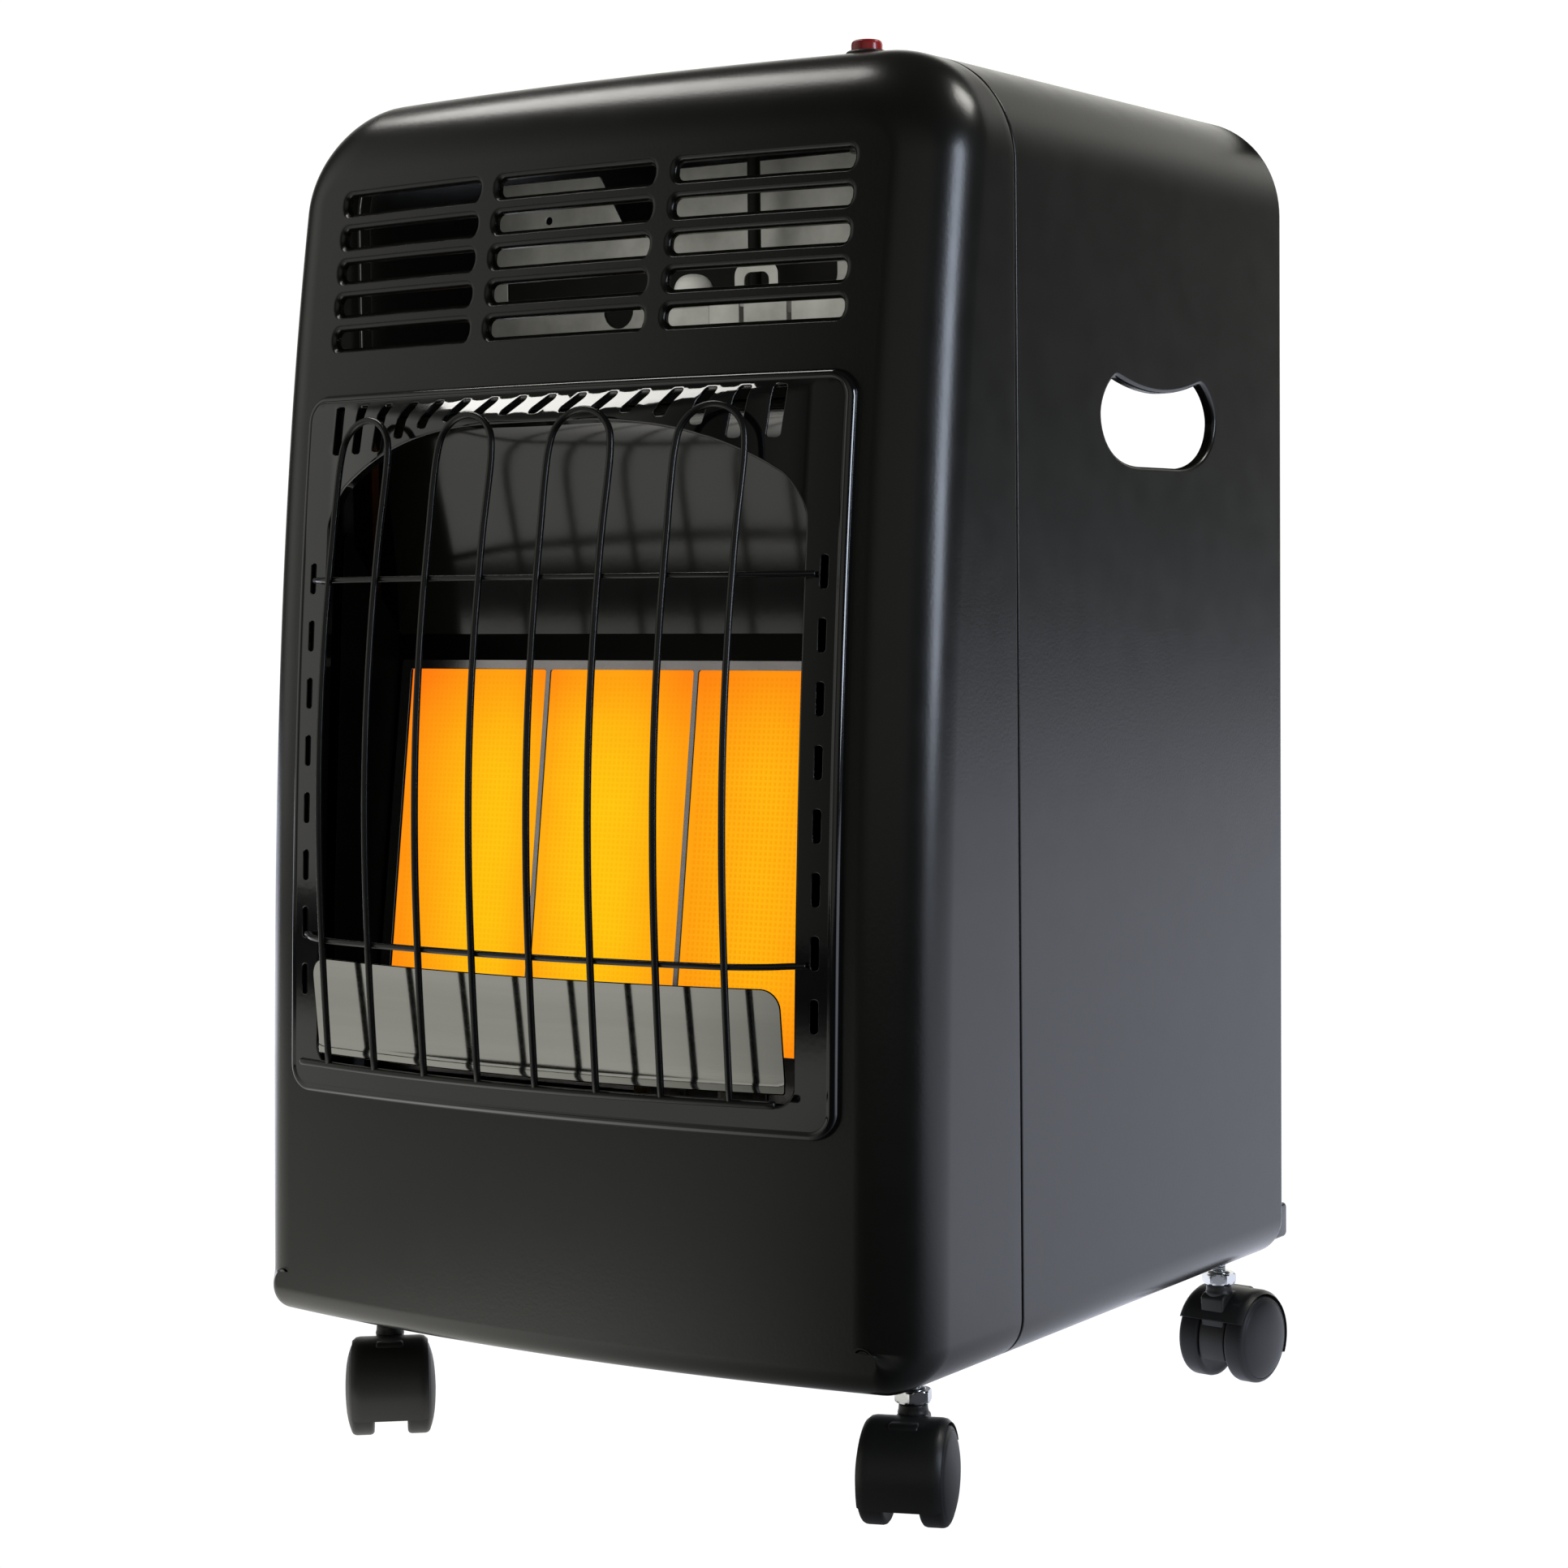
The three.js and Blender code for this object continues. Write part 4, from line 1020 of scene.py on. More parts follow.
def bezel():
    inner = rounded(-150, 150, 138, 431, 14, arc=12, step=6)
    foot = inner[:, 1] < 200
    low = rounded(-150, 150, 138, 431, 10, arc=8, step=6)
    low = low[low[:, 1] < 200]
    lift = np.clip((inner[:, 1] - 417) / 14.0, 0, 1)
    inner[:, 1] += lift * (arch_z(inner[:, 0]) - 431)
    upper = inner[~foot]
    # starts at the lower right corner and goes up the right side
    right_low = low[(low[:, 0] > 0)]
    left_low = low[(low[:, 0] <= 0)]
    inner = np.concatenate([right_low[np.argsort(right_low[:, 0] + 2 * right_low[:, 1])], upper, left_low[np.argsort(left_low[:, 0] - 2 * left_low[:, 1])]])

    def off(x, z):
        """Flat ring 5 mm proud of the panel; above the window it curls forward and down into a visor."""
        reach = 14.0 * np.clip(1 - (np.asarray(x, float) / 150.0) ** 2, 0, 1)
        down = np.clip(484.0 - z, 0, 60)
        soft = -np.log(np.exp(-down) + np.exp(-reach)) + np.log(1 + np.exp(-reach))
        return -5.0 - np.clip(soft, 0, 14) * np.clip((z - 405.0) / 26.0, 0, 1)

    def place(x, z):
        return arr(x, face_y(x, z) + off(x, z), z)

    def normal(x, z):
        e = 0.15
        a, b = place(x + e, z) - place(x - e, z), place(x, z + e) - place(x, z - e)
        n = np.cross(a, b)
        n *= np.where(n[..., 1:2] > 0, -1, 1)
        return n / np.linalg.norm(n, axis=-1, keepdims=True)

    edge = rounded(-167, 167, 127, 484, 9, arc=10, step=6)
    holes = [inner]
    folds = [(1.2, 5, 4)]
    for sx in (-1, 1):
        for i in range(8):
            z = 392.5 - 30.1 * i
            holes.append(rounded(sx * 160.5 - 2, sx * 160.5 + 2, z - 8, z + 8, 1.7, arc=4, step=5))
            folds.append((0.5, 1.6, 2))
    for i in range(16):
        x = -144.5 + i * 18.6
        lean = 7.5 - 6 * (x / 145) ** 2
        f = max(457, float(arch_z(x - lean)) + 4.4)
        holes.append(fillet([(x - lean - 3.5, f), (x - lean + 3.5, f), (x + 3.5, 482.2), (x - 3.5, 482.2)], 1.8, arc=4, step=5))
        folds.append((0.45, 1.4, 2))
    part, ends = pressed(edge, holes, place, normal, 3.2, folds)
    # rolled rim round the outside: a bead standing 5 mm proud of the panel
    bead = [(0.0, 5.0, 5.0), (22, 4.5, 5.05), (45, 3.9, 5.3), (62, 3.3, 5.55), (90, 2.4, 5.6), (115, 1.4, 5.1), (140, 0.5, 3.9), (165, 0.05, 2.2), (180, 0.0, 0.9), (180, 0.0, -0.1)]
    loop3 = place(edge[:, 0], edge[:, 1])
    o2 = out2(edge)
    prev, pts_prev = ends[0], None
    rows = []
    for _, inset, up in bead[1:]:
        g = 5.0 - inset
        x, z = edge[:, 0] + o2[:, 0] * g, edge[:, 1] + o2[:, 1] * g
        rows.append(arr(x, face_y(x, z) - up, z))
    stack = np.array([loop3] + rows)
    du = np.roll(stack, -1, axis=1) - np.roll(stack, 1, axis=1)
    dv = np.empty_like(stack)
    dv[1:-1] = stack[2:] - stack[:-2]
    dv[0] = stack[1] - stack[0]
    dv[-1] = stack[-1] - stack[-2]
    n = np.cross(du, dv)
    n /= np.maximum(np.linalg.norm(n, axis=2, keepdims=True), 1e-9)
    if n[4][:, 1].mean() > 0:
        n = -n
    for k in range(1, len(stack)):
        now = part.points(stack[k], n[k])
        part.bridge(prev, now)
        prev = now
    part.thicken(0.7)
    obj("bezel_shell", part, MAT["gloss_enamel"], "cabinet", ["window_bezel"])


bezel()


# ------------------------------------------------------------------ wire guard
def guard_off(x, z):
    return 20 + 10 * math.sin(pi * min(1, max(0, (z - 142) / 331.0))) + 5 * (1 - (x / 130.0) ** 2)


def wire_y(x, z):
    return float(face_y(x, z)) - guard_off(x, z)


def wire_guard():
    pieces = []

    def hoop(xa, xb):
        r, c = (xb - xa) / 2, (xa + xb) / 2
        pts = [(xa, wire_y(xa, z), z) for z in (142, 195, 250, 305, 360, 410, 455)]
        for d in (150, 120, 90, 60, 30):
            x, z = c + r * cos(rad(d)), 455 + r * sin(rad(d))
            pts.append((x, wire_y(x, z), z))
        pts += [(xb, wire_y(xb, z), z) for z in (455, 410, 360, 305, 250, 195, 142)]
        return tube(smooth_line(pts, 7), 1.8, 12)

    def cross(z, reach, deep):
        pts = []
        for x in (-reach, -151, -143, -126, -84, -42, 0, 42, 84, 126, 143, 151, reach):
            a, base = abs(x), guard_off(x, z) - 2.6
            b = guard_off(126, z) - 2.6
            o = base if a <= 126 else deep if a >= reach else deep + (b - deep) * (0.62 if a < 150 else 0.2)
            pts.append((x, float(face_y(x, z)) - o, z))
        return tube(smooth_line(pts, 7), 1.6, 12)

    for a, b in ((-126, -90), (-54, -18), (18, 54), (90, 126)):
        pieces.append(hoop(a, b))
    pieces.append(cross(391.5, 156.5, 7.2))
    pieces.append(cross(206, 156.5, 7.2))
    pieces.append(tube(smooth_line([(x, wire_y(x, 142), 141) for x in (-148, -126, -84, -42, 0, 42, 84, 126, 148)], 6), 2.0, 12))
    # resistance welds: a small flattened bead at every crossing
    for a in (-126, -90, -54, -18, 18, 54, 90, 126):
        for z in (391.5, 206):
            y = wire_y(a, z) + 1.35
            v, f = lathe(soften([(0, -1.3), (1.2, -1.0), (1.6, 0), (1.2, 1.0), (0, 1.3)], 0.6), 10)
            pieces.append((v @ np.array(turned_x(90)).T + [a, y, z], f))
    obj("guard_wires", fixed_smooth(merge(*pieces)), MAT["guard_coating"], "cabinet", ["wire_guard"])


def fixed_smooth(part, angle=50):
    v, f = fixed(part)
    return v, f, angle


wire_guard()


# ------------------------------------------------------------------ lower deflector
def deflector():
    def base_y(x):
        return face_y(x, 168) - 12

    c, s = cos(rad(5.6)), sin(rad(5.6))

    def place(x, z):
        # leans back towards its foot, which is curled forward into a small lip
        d = np.clip((148.0 - z) / 5.0, 0, 1)
        y, h = base_y(x) - 1.4 * d * d + 130.0, z - 194.0
        return arr(x, y * c - h * s - 130.0, y * s + h * c + 194.0)

    def normal(x, z):
        e = 0.2
        n = np.cross(place(x + e, z) - place(x - e, z), place(x, z + e) - place(x, z - e))
        n *= np.where(n[..., 1:2] > 0, -1, 1)
        return n / np.linalg.norm(n, axis=-1, keepdims=True)

    loop = fillet([(-147, 143.2), (147, 143.2), (147, 194), (-147, 194)], [1.2, 1.2, 10, 10], arc=8, step=6)
    obj("deflector_plate", plate(loop, [], place, normal, 1.1, 0.4, 5.0), MAT["bright_sheet"], "cabinet", ["lower_deflector"])


deflector()

# ------------------------------------------------------------------ burner: plaques and their frame
TW, TH, TT, TP = 92.0, 195.0, 12.0, 94.5
TILT = turned_x(-8)
ORG = np.array([0, -69.3, 152.0])


def plaque(name, k):
    """One porous tile: a field of small square pits in a slab with rounded edges."""
    xc = k * TP
    nx, nz = 30, 64
    x0, x1, z0, z1 = xc - 43.2, xc + 43.2, 4.4, 190.6
    px, pz = (x1 - x0) / nx, (z1 - z0) / nz
    v, f, hole, uv = [], [], [], []

    def put(x, y, z, h=0.0):
        v.append((x, y, z))
        hole.append(h)
        uv.append(((x + TP + TW / 2) / (2 * TP + TW), z / TH))
        return len(v) - 1

    grid = [[put(x0 + i * px, 0, z0 + j * pz) for i in range(nx + 1)] for j in range(nz + 1)]
    h = 0.30
    for j in range(nz):
        for i in range(nx):
            cx, cz = x0 + (i + 0.5) * px, z0 + (j + 0.5) * pz
            rx, rz = px * h, pz * h
            rim = [put(cx + a * rx, 0, cz + b * rz, 0.05) for a, b in ((-1, -1), (1, -1), (1, 1), (-1, 1))]
            low = [put(cx + a * rx * 0.9, 1.6, cz + b * rz * 0.9, 0.16 + 0.16 * max(0, k)) for a, b in ((-1, -1), (1, -1), (1, 1), (-1, 1))]
            q = [grid[j][i], grid[j][i + 1], grid[j + 1][i + 1], grid[j + 1][i]]
            for s in range(4):
                t = (s + 1) % 4
                f.append((q[s], q[t], rim[t], rim[s]))
                f.append((rim[s], rim[t], low[t], low[s]))
            f.append(tuple(low))
    # margin, rounded edge, sides and back
    def border(ins, y):
        a, b, c, d = xc - TW / 2 + ins, xc + TW / 2 - ins, ins, TH - ins
        top = [(a + (b - a) * i / nx, d) for i in range(nx + 1)]
        return [(a + (b - a) * i / nx, c) for i in range(nx)] + [(b, c + (d - c) * j / nz) for j in range(nz)] + [(b - (b - a) * i / nx, d) for i in range(nx)] + [(a, d - (d - c) * j / nz) for j in range(nz)], y

    ring = [grid[0][i] for i in range(nx)] + [grid[j][nx] for j in range(nz)] + [grid[nz][nx - i] for i in range(nx)] + [grid[nz - j][0] for j in range(nz)]
    for ins, y in ((0.8, 0.0), (0.25, 0.25), (0.0, 0.9), (0.0, TT - 0.6), (0.6, TT)):
        pts, yy = border(ins, y)
        nxt = [put(p[0], yy, p[1]) for p in pts]
        n = len(ring)
        f.extend((ring[i], ring[(i + 1) % n], nxt[(i + 1) % n], nxt[i]) for i in range(n))
        ring = nxt
    f.append(tuple(ring))
    vv = np.array(v) @ np.array(TILT).T + ORG
    vv, ff = vv, f
    o = obj("plaque_" + name, (vv, ff, 30), MAT["glowing_plaque"], "cabinet", ["ceramic_plaque_" + name], uv=uv)
    at = o.data.attributes.new("hole", "FLOAT", "POINT")
    at.data.foreach_set("value", hole)
    import bmesh
    bm = bmesh.new()
    bm.from_mesh(o.data)
    bmesh.ops.recalc_face_normals(bm, faces=bm.faces)
    bm.to_mesh(o.data)
    bm.free()
    o.data.polygons.foreach_set("use_smooth", [False] * len(o.data.polygons))
    # the glow stays in the tile, as in a photo exposed for the cabinet
    o.visible_diffuse = o.visible_glossy = False


for nm, k in (("left", -1), ("middle", 0), ("right", 1)):
    plaque(nm, k)


def tilted(place, normal):
    r = np.array(TILT)
    return (lambda a, b: place(a, b) @ r.T + ORG), (lambda a, b: normal(a, b) @ r.T)


def burner_frame():
    place, normal = tilted(*flat_y(-1.3))
    windows = [rounded(k * TP - 45.7, k * TP + 45.7, 2, 193.5, 1.5, arc=3, step=20) for k in (-1, 0, 1)]
    part = plate(rounded(-147, 147, -21, 198.5, 1.2, arc=3, step=20), windows, place, normal, 1.0, 0.35, 16.0)
    for s in (-1, 1):
        pl, no = tilted(*flat_x(s * 147, s))
        plate(rounded(-0.9, 22, -21, 198.5, 1.0, arc=3, step=24), [], pl, no, 1.2, 0.3, 20.0, part)
    part.agree()
    obj("burner_frame_strips", part, MAT["polished_steel"], "cabinet", ["burner_frame"])


burner_frame()


# ------------------------------------------------------------------ reflectors
def reflectors():
    def place(x, t):
        return arr(x, -75 + 30 * np.cos(t), 362 + 114 * np.sin(t))

    def normal(x, t):
        n = arr(0 * x, -114 * np.cos(t), -30 * np.sin(t))
        return n / np.linalg.norm(n, axis=-1, keepdims=True)

    # worked in (x, arc length) so that the edges round off evenly
    ts = np.linspace(0, pi / 2, 60)
    pts = place(0 * ts, ts)
    cum = np.concatenate([[0], np.cumsum(np.linalg.norm(np.diff(pts, axis=0), axis=1))])

    def pl(x, s):
        return place(x, np.interp(s, cum, ts))

    def no(x, s):
        return normal(x, np.interp(s, cum, ts))

    part = plate(rounded(-147.5, 147.5, 0, cum[-1], 2, arc=3, step=8), [], pl, no, 1.0, 0.35, (18, 4.5))
    obj("reflector_hood", part, MAT["hood_enamel"], "cabinet", ["upper_reflector"])
    shape = [(-101, 152), (-71, 152), (-43, 350), (-43, 364), (-86, 420), (-90, 372), (-100, 220)]
    for name, s in (("left", -1), ("right", 1)):
        x = -148.8 if s < 0 else 148.8
        p, n = flat_x(x, -s)
        part = plate(fillet(shape, 2.5, arc=4, step=30), [], p, n, 1.0, 0.35, 18)
        obj("reflector_side_" + name, part, MAT["sooted_steel"], "cabinet", ["side_reflector_" + name])


reflectors()


# ------------------------------------------------------------------ valve and its surroundings, seen through the louvers
def valve_group():
    parts = [block(2, 48, -20, 50, 503, 530, 2.2, 4)]
    parts.append(moved(lathe(soften([(0, 0), (9, 0), (9, 5.2), (7.8, 6), (0, 6)], 0.5), 32), turned_x(-90), (25, 48.5, 515)))
    parts.append(moved(lathe(soften([(0, 0), (6, 0), (6, 4), (4.6, 5), (0, 5)], 0.4), 28), turned_x(90), (-8, 3, 514)))
    for x, y in ((9, -13), (41, -13), (9, 42), (41, 42)):
        parts.append(moved(lathe(soften([(0, 0), (3.4, 0), (3.4, 1.4), (2.6, 2.2), (0, 2.2)], 0.3), 20), None, (x, y, 529.6)))
    v, f = fixed(merge(*parts))
    obj("valve_housing", (v, f, 35), MAT["galvanised_sheet"], "cabinet", ["gas_valve"])
    dome = [(0, 530.2), (10.2, 530.2), (10.2, 538.2), (9.9, 540.4), (9.0, 542.8), (7.4, 544.9), (5.2, 546.3), (2.6, 547.0), (0, 547.2)]
    obj("valve_dome", (*moved(lathe(soften(dome, 0.4), 40), None, (23.5, -8, 0)), 40), MAT["white_plastic"], "cabinet", ["valve_cap"])
    part = plate(rounded(-30, 132, -24, 54, 3, arc=4, step=20), [], *flat_z(502.6, 1), 1.6, 0.4, 14)
    outer = fillet([(44, 501.5), (132, 501.5), (132, 536), (87, 536), (87, 549), (60, 549), (60, 536), (44, 536)], [1, 1, 3, 1.5, 6.5, 6.5, 1.5, 2], arc=5, step=16)
    slots = [rounded(62.6, 65.4, 512, 531, 1.2, arc=4, step=8), rounded(91.6, 94.4, 512, 531, 1.2, arc=4, step=8), rounded(66, 81, 534, 544, 4, arc=5, step=8)]
    plate(outer, slots, *flat_y(-24), 1.2, 0.35, 10, part)
    obj("valve_bracket_sheet", part, MAT["galvanised_sheet"], "cabinet", ["valve_bracket"])
    outer = fillet([(-165, 503), (150, 503), (150, 600), (138, 612), (-33, 612), (-33, 580), (-66, 580), (-84, 612), (-165, 612)], 3, arc=4, step=20)
    a = np.linspace(0, 2 * pi, 24, endpoint=False)
    bore = np.stack([25 + 8.2 * np.cos(a), 514 + 8.2 * np.sin(a)], 1)
    small = [np.stack([x + 2.2 * np.cos(a[::2]), z + 2.2 * np.sin(a[::2])], 1) for x, z in ((-120, 590), (92, 590), (112, 578), (136, 535))]
    dip = [(-73 + 10 * cos(rad(d)), 538 + 10 * sin(rad(d))) for d in (172, 195, 215, 235, 255, 270, 285, 305, 325, 345, 368)]
    big = [fillet([(-150, 543), (-86, 543)] + dip + [(-60, 543), (70, 543), (70, 564), (-150, 564)], [6, 2] + [0.5] * len(dip) + [2, 6, 6, 6], arc=4, step=20)]
    part = plate(outer, [bore] + small + big, *flat_y(57), 1.0, 0.35, 12)
    obj("heat_shield_sheet", part, MAT["galvanised_sheet"], "cabinet", ["heat_shield"])
    # near-black sheet held behind the shield's long window: painted shade for the dark seen through it
    shade_sheet = plate(rounded(-156, 76, 524, 569, 6, arc=5, step=20), [], *flat_y(58.4), 0.9, 0.3, 16)
    obj("shield_shade_sheet", shade_sheet, MAT["sooted_steel"], "cabinet")


valve_group()


# ------------------------------------------------------------------ top: well, knob and igniter
def controls():
    x0, x1, y0, y1 = -20, 76, 12, 72
    zt, zb = TOP + 0.3, TOP - 26
    part, ends = pressed(rounded(x0 - 6, x1 + 6, y0 - 5, y1 + 5, 9, arc=8, step=10), [rounded(x0 + 2.4, x1 - 2.4, y0 + 2.4, y1 - 2.4, 6, arc=8, step=10)],
                         *flat_z(zt + 1.2, 1), 8.0, [(1.6, 2.4, 5)], (0.8, 1.2, 4))
    rim = ends[1]
    loop = rounded(x0 + 2.4, x1 - 2.4, y0 + 2.4, y1 - 2.4, 6, arc=8, step=10)
    o2 = out2(loop)
    prev = rim
    for z, ins in ((zt - 6, 0.3), (zt - 14, 0.6), (zb + 5.5, 0.9)):
        now = part.points(arr(loop[:, 0] - o2[:, 0] * ins, loop[:, 1] - o2[:, 1] * ins, z), arr(-o2[:, 0], -o2[:, 1], 0.04 + 0 * o2[:, 0]))
        part.bridge(prev, now)
        prev = now
    for k in range(1, 5):
        a = k / 4 * pi / 2
        ins, z = 0.9 + 3.5 * (1 - cos(a)), zb + 2 + 3.5 * (1 - sin(a))
        now = part.points(arr(loop[:, 0] - o2[:, 0] * ins, loop[:, 1] - o2[:, 1] * ins, z), arr(-o2[:, 0] * cos(a), -o2[:, 1] * cos(a), sin(a) + 0 * o2[:, 0]))
        part.bridge(prev, now)
        prev = now
    floor = np.stack([loop[:, 0] - o2[:, 0] * 4.4, loop[:, 1] - o2[:, 1] * 4.4], 1)
    a = np.linspace(0, 2 * pi, 24, endpoint=False)
    bore = np.stack([28 + 5.2 * np.cos(a), 42 + 5.2 * np.sin(a)], 1)
    v2, tri, ids = region(floor, [bore], 8)
    base = part.points(arr(v2[:, 0], v2[:, 1], zb + 2), arr(0 * v2[:, 0], 0, 1))[0]
    part.faces([(base + i, base + j, base + k) for i, j, k in tri])
    part.bridge(prev, [base + i for i in ids[0]])
    part.thicken(1.0)
    obj("well_shell", part, MAT["black_plastic"], "cabinet", ["control_well"])

    # knob: skirt with a raised dial edge, crown with finger flutes, grip bar with a white pointer
    seg = 96
    rows = []
    prof = [(0.0, 624.2), (17.2, 624.2), (17.8, 624.8), (18.0, 625.8), (18.0, 628.2), (17.7, 629.2), (16.6, 629.8), (15.9, 630.6), (15.5, 632.4), (15.1, 633.4), (14.3, 633.9), (0.0, 634.1)]
    v, f = [], []
    for r, z in prof:
        rows.append(len(v))
        for i in range(seg):
            a = 2 * pi * i / seg
            rr = r
            if 15 < r < 16.2:
                rr = r - 0.45 * (0.5 + 0.5 * cos(24 * a))
            v.append((rr * cos(a), rr * sin(a), z))
    for a, b in zip(rows, rows[1:]):
        f += [(a + i, a + (i + 1) % seg, b + (i + 1) % seg, b + i) for i in range(seg)]
    body = (np.array(v), f)
    bar = block(-3.9, 3.9, -15.6, 15.6, 629, 641.9, 1.7, 4)
    vv, ff = bar
    pinch = 1 - 0.25 * np.clip((vv[:, 2] - 633) / 9, 0, 1)
    vv = np.stack([vv[:, 0] * pinch, vv[:, 1], vv[:, 2]], 1)
    knob = merge(body, (vv, ff))
    obj("knob_grip", (*fixed(moved(knob, None, (28, 42, 0))), 40), MAT["black_plastic"], "knob", ["control_knob"])
    mark = prism(rounded(-0.7, 0.7, -14.4, -4.5, 0.6, arc=4), "z", 641.7, 642.0, 0.1, 2)
    obj("knob_pointer", (*moved(mark, None, (28, 42, 0)), 40), MAT["white_plastic"], "knob", ())
    sp = lathe(soften([(0, 518), (3.5, 518), (3.5, 622), (3.0, 623), (0, 623)], 0.4), 28)
    # the spindle gets the near-black sooted_steel as painted shade, like the other shaded inner pieces
    obj("spindle", (*moved(sp, None, (28, 42, 0)), 40), MAT["sooted_steel"], "knob", ["knob_spindle"])

    ix, iy = 132.5, -11
    collar = ringed([(8.3, 647.2), (10.5, 647.2), (10.6, 648.0), (10.45, 648.7), (10.0, 649.3), (9.4, 649.6), (8.8, 649.65), (8.35, 649.4)], 56)
    obj("igniter_ring", (*fixed(moved(collar, None, (ix, iy, 0))), 45), MAT["black_plastic"], "cabinet", ["igniter_collar"])
    cap = soften([(0, 641.6), (7.8, 641.6), (7.8, 653.0), (7.4, 654.3), (6.2, 655.0), (4.0, 655.15), (2.0, 654.95), (0, 654.9)], 0.5, 4)
    obj("igniter_cap", (*moved(lathe(cap, 56), None, (ix, iy, 0)), 45), MAT["red_plastic"], "button", ["igniter_button"])
    tub = soften([(0, 600), (8.6, 600), (9, 600.6), (9, 638.6), (10.2, 639), (10.2, 644.4), (9, 644.6), (9, 646.9), (8.3, 647), (8.3, 634), (0, 634)], 0.4, 2)
    obj("igniter_barrel", (*moved(lathe(tub, 40), None, (ix, iy, 0)), 35), MAT["black_plastic"], "cabinet", ["igniter_body"])


controls()


# ------------------------------------------------------------------ rear cover and tray
def rear():
    # rounded pan with two pressed ribs, a grip slot and rows of vents low down
    def bump(x, z):
        h = np.zeros_like(np.asarray(x, float) + np.asarray(z, float))
        for cx in (-130, -65, 0, 65, 130):
            d = np.clip(1 - np.abs(x - cx) / 11.0, 0, 1)
            e = np.clip(np.minimum(z - 90, 360 - z) / 14.0, 0, 1)
            s = d * d * (3 - 2 * d) * e * e * (3 - 2 * e)
            h = h + 2.4 * s
        return h

    def place(x, z):
        return arr(x, 307.0 + bump(x, z), z)

    def normal(x, z):
        e = 0.3
        n = np.cross(place(x + e, z) - place(x - e, z), place(x, z + e) - place(x, z - e))
        n *= np.where(n[..., 1:2] < 0, -1, 1)
        return n / np.linalg.norm(n, axis=-1, keepdims=True)

    holes = [rounded(-60, 60, 398, 418, 9, arc=7, step=8)]
    folds = [(1.6, 4.0, 4)]
    for x in (-162, -98, -34, 34, 98, 162):
        for z in (46, 58, 70):
            holes.append(rounded(x - 22, x + 22, z, z + 4.5, 2.1, arc=4, step=8))
            folds.append((0.9, 1.8, 3))
    part, _ = pressed(rounded(-206, 206, 28, 430, 12, arc=8, step=8), holes, place, normal, 5.0, folds, (2.6, 4.4, 5))
    part.thicken(0.9)
    obj("rear_cover_pan", part, MAT["powder_coat"], "rear_cover", ["rear_cover"])


rear()


def tray():
    def place(x, y):
        d = np.sqrt(x ** 2 + (y - 150) ** 2)
        s = np.clip((131.5 - d) / 3.0, 0, 1)
        return arr(x, y, 2.7 + 0.8 * s * s * (3 - 2 * s))

    def normal(x, y):
        e = 0.3
        n = np.cross(place(x + e, y) - place(x - e, y), place(x, y + e) - place(x, y - e))
        n *= np.where(n[..., 2:3] < 0, -1, 1)
        return n / np.linalg.norm(n, axis=-1, keepdims=True)

    a = np.linspace(0, 2 * pi, 20, endpoint=False)
    holes = [np.stack([x + 4.4 * np.cos(a), y + 4.4 * np.sin(a)], 1) for _, x, y, _ in CASTERS]
    part = plate(rounded(-186, 186, -78, 300, 2, arc=3, step=14), holes, place, normal, 1.2, 0.3, 9)
    for s in (-1, 1):
        plate(rounded(-76, 300, 2, 18, 2, arc=4, step=20), [], *flat_x(s * 186, s), 1.2, 0.4, 14, part)
    body = [part]
    # rear lip: a closed box rail that stands out behind the casing
    rail = prism(rounded(302.6, 322, 7.2, 27, 3.2, arc=6), "x", -203, 203, 1.6, 4)
    link = block(-186, 186, 299.6, 303.4, 2.0, 9.4, 0.6, 2)
    obj("tray_floor_sheet", part, MAT["powder_coat"], "cabinet", ["base_tray"])
    obj("tray_rear_rail", (*fixed(merge(rail, link)), 35), MAT["powder_coat"], "cabinet", ())


tray()


# ------------------------------------------------------------------ casters
def nut(r_flat, z0, z1, chamfer=0.9, seg=72, dome=0.0):
    """A hexagon nut: flats with the corners turned away at both faces."""
    rc = r_flat / cos(pi / 6)
    rows, v, f = [], [], []
    zs = [z0, z0 + chamfer * 0.5, z0 + chamfer, (z0 + z1) / 2, z1 - chamfer, z1 - chamfer * 0.5, z1]
    for z in zs:
        d = min(z - z0, z1 - z)
        lim = r_flat + 0.2 + (rc - r_flat) * min(1, d / chamfer) ** 0.6
        rows.append(len(v))
        for i in range(seg):
            a = 2 * pi * i / seg
            m = (a + pi / 6) % (pi / 3) - pi / 6
            v.append((min(r_flat / cos(m), lim) * cos(a), min(r_flat / cos(m), lim) * sin(a), z))
    for a, b in zip(rows, rows[1:]):
        f += [(a + i, a + (i + 1) % seg, b + (i + 1) % seg, b + i) for i in range(seg)]
    f.append(tuple(reversed(range(seg))))
    f.append(tuple(rows[-1] + i for i in range(seg)))
    return np.array(v), f


def threaded(r, z0, z1, pitch=1.25, seg=40):
    prof = [(0, z0), (r - 0.7, z0)]
    z = z0 + 0.6
    while z < z1 - pitch:
        prof += [(r - 0.42, z), (r, z + pitch * 0.45), (r, z + pitch * 0.55), (r - 0.42, z + pitch)]
        z += pitch
    prof += [(r - 0.7, z1), (0, z1)]
    return lathe(prof, seg)


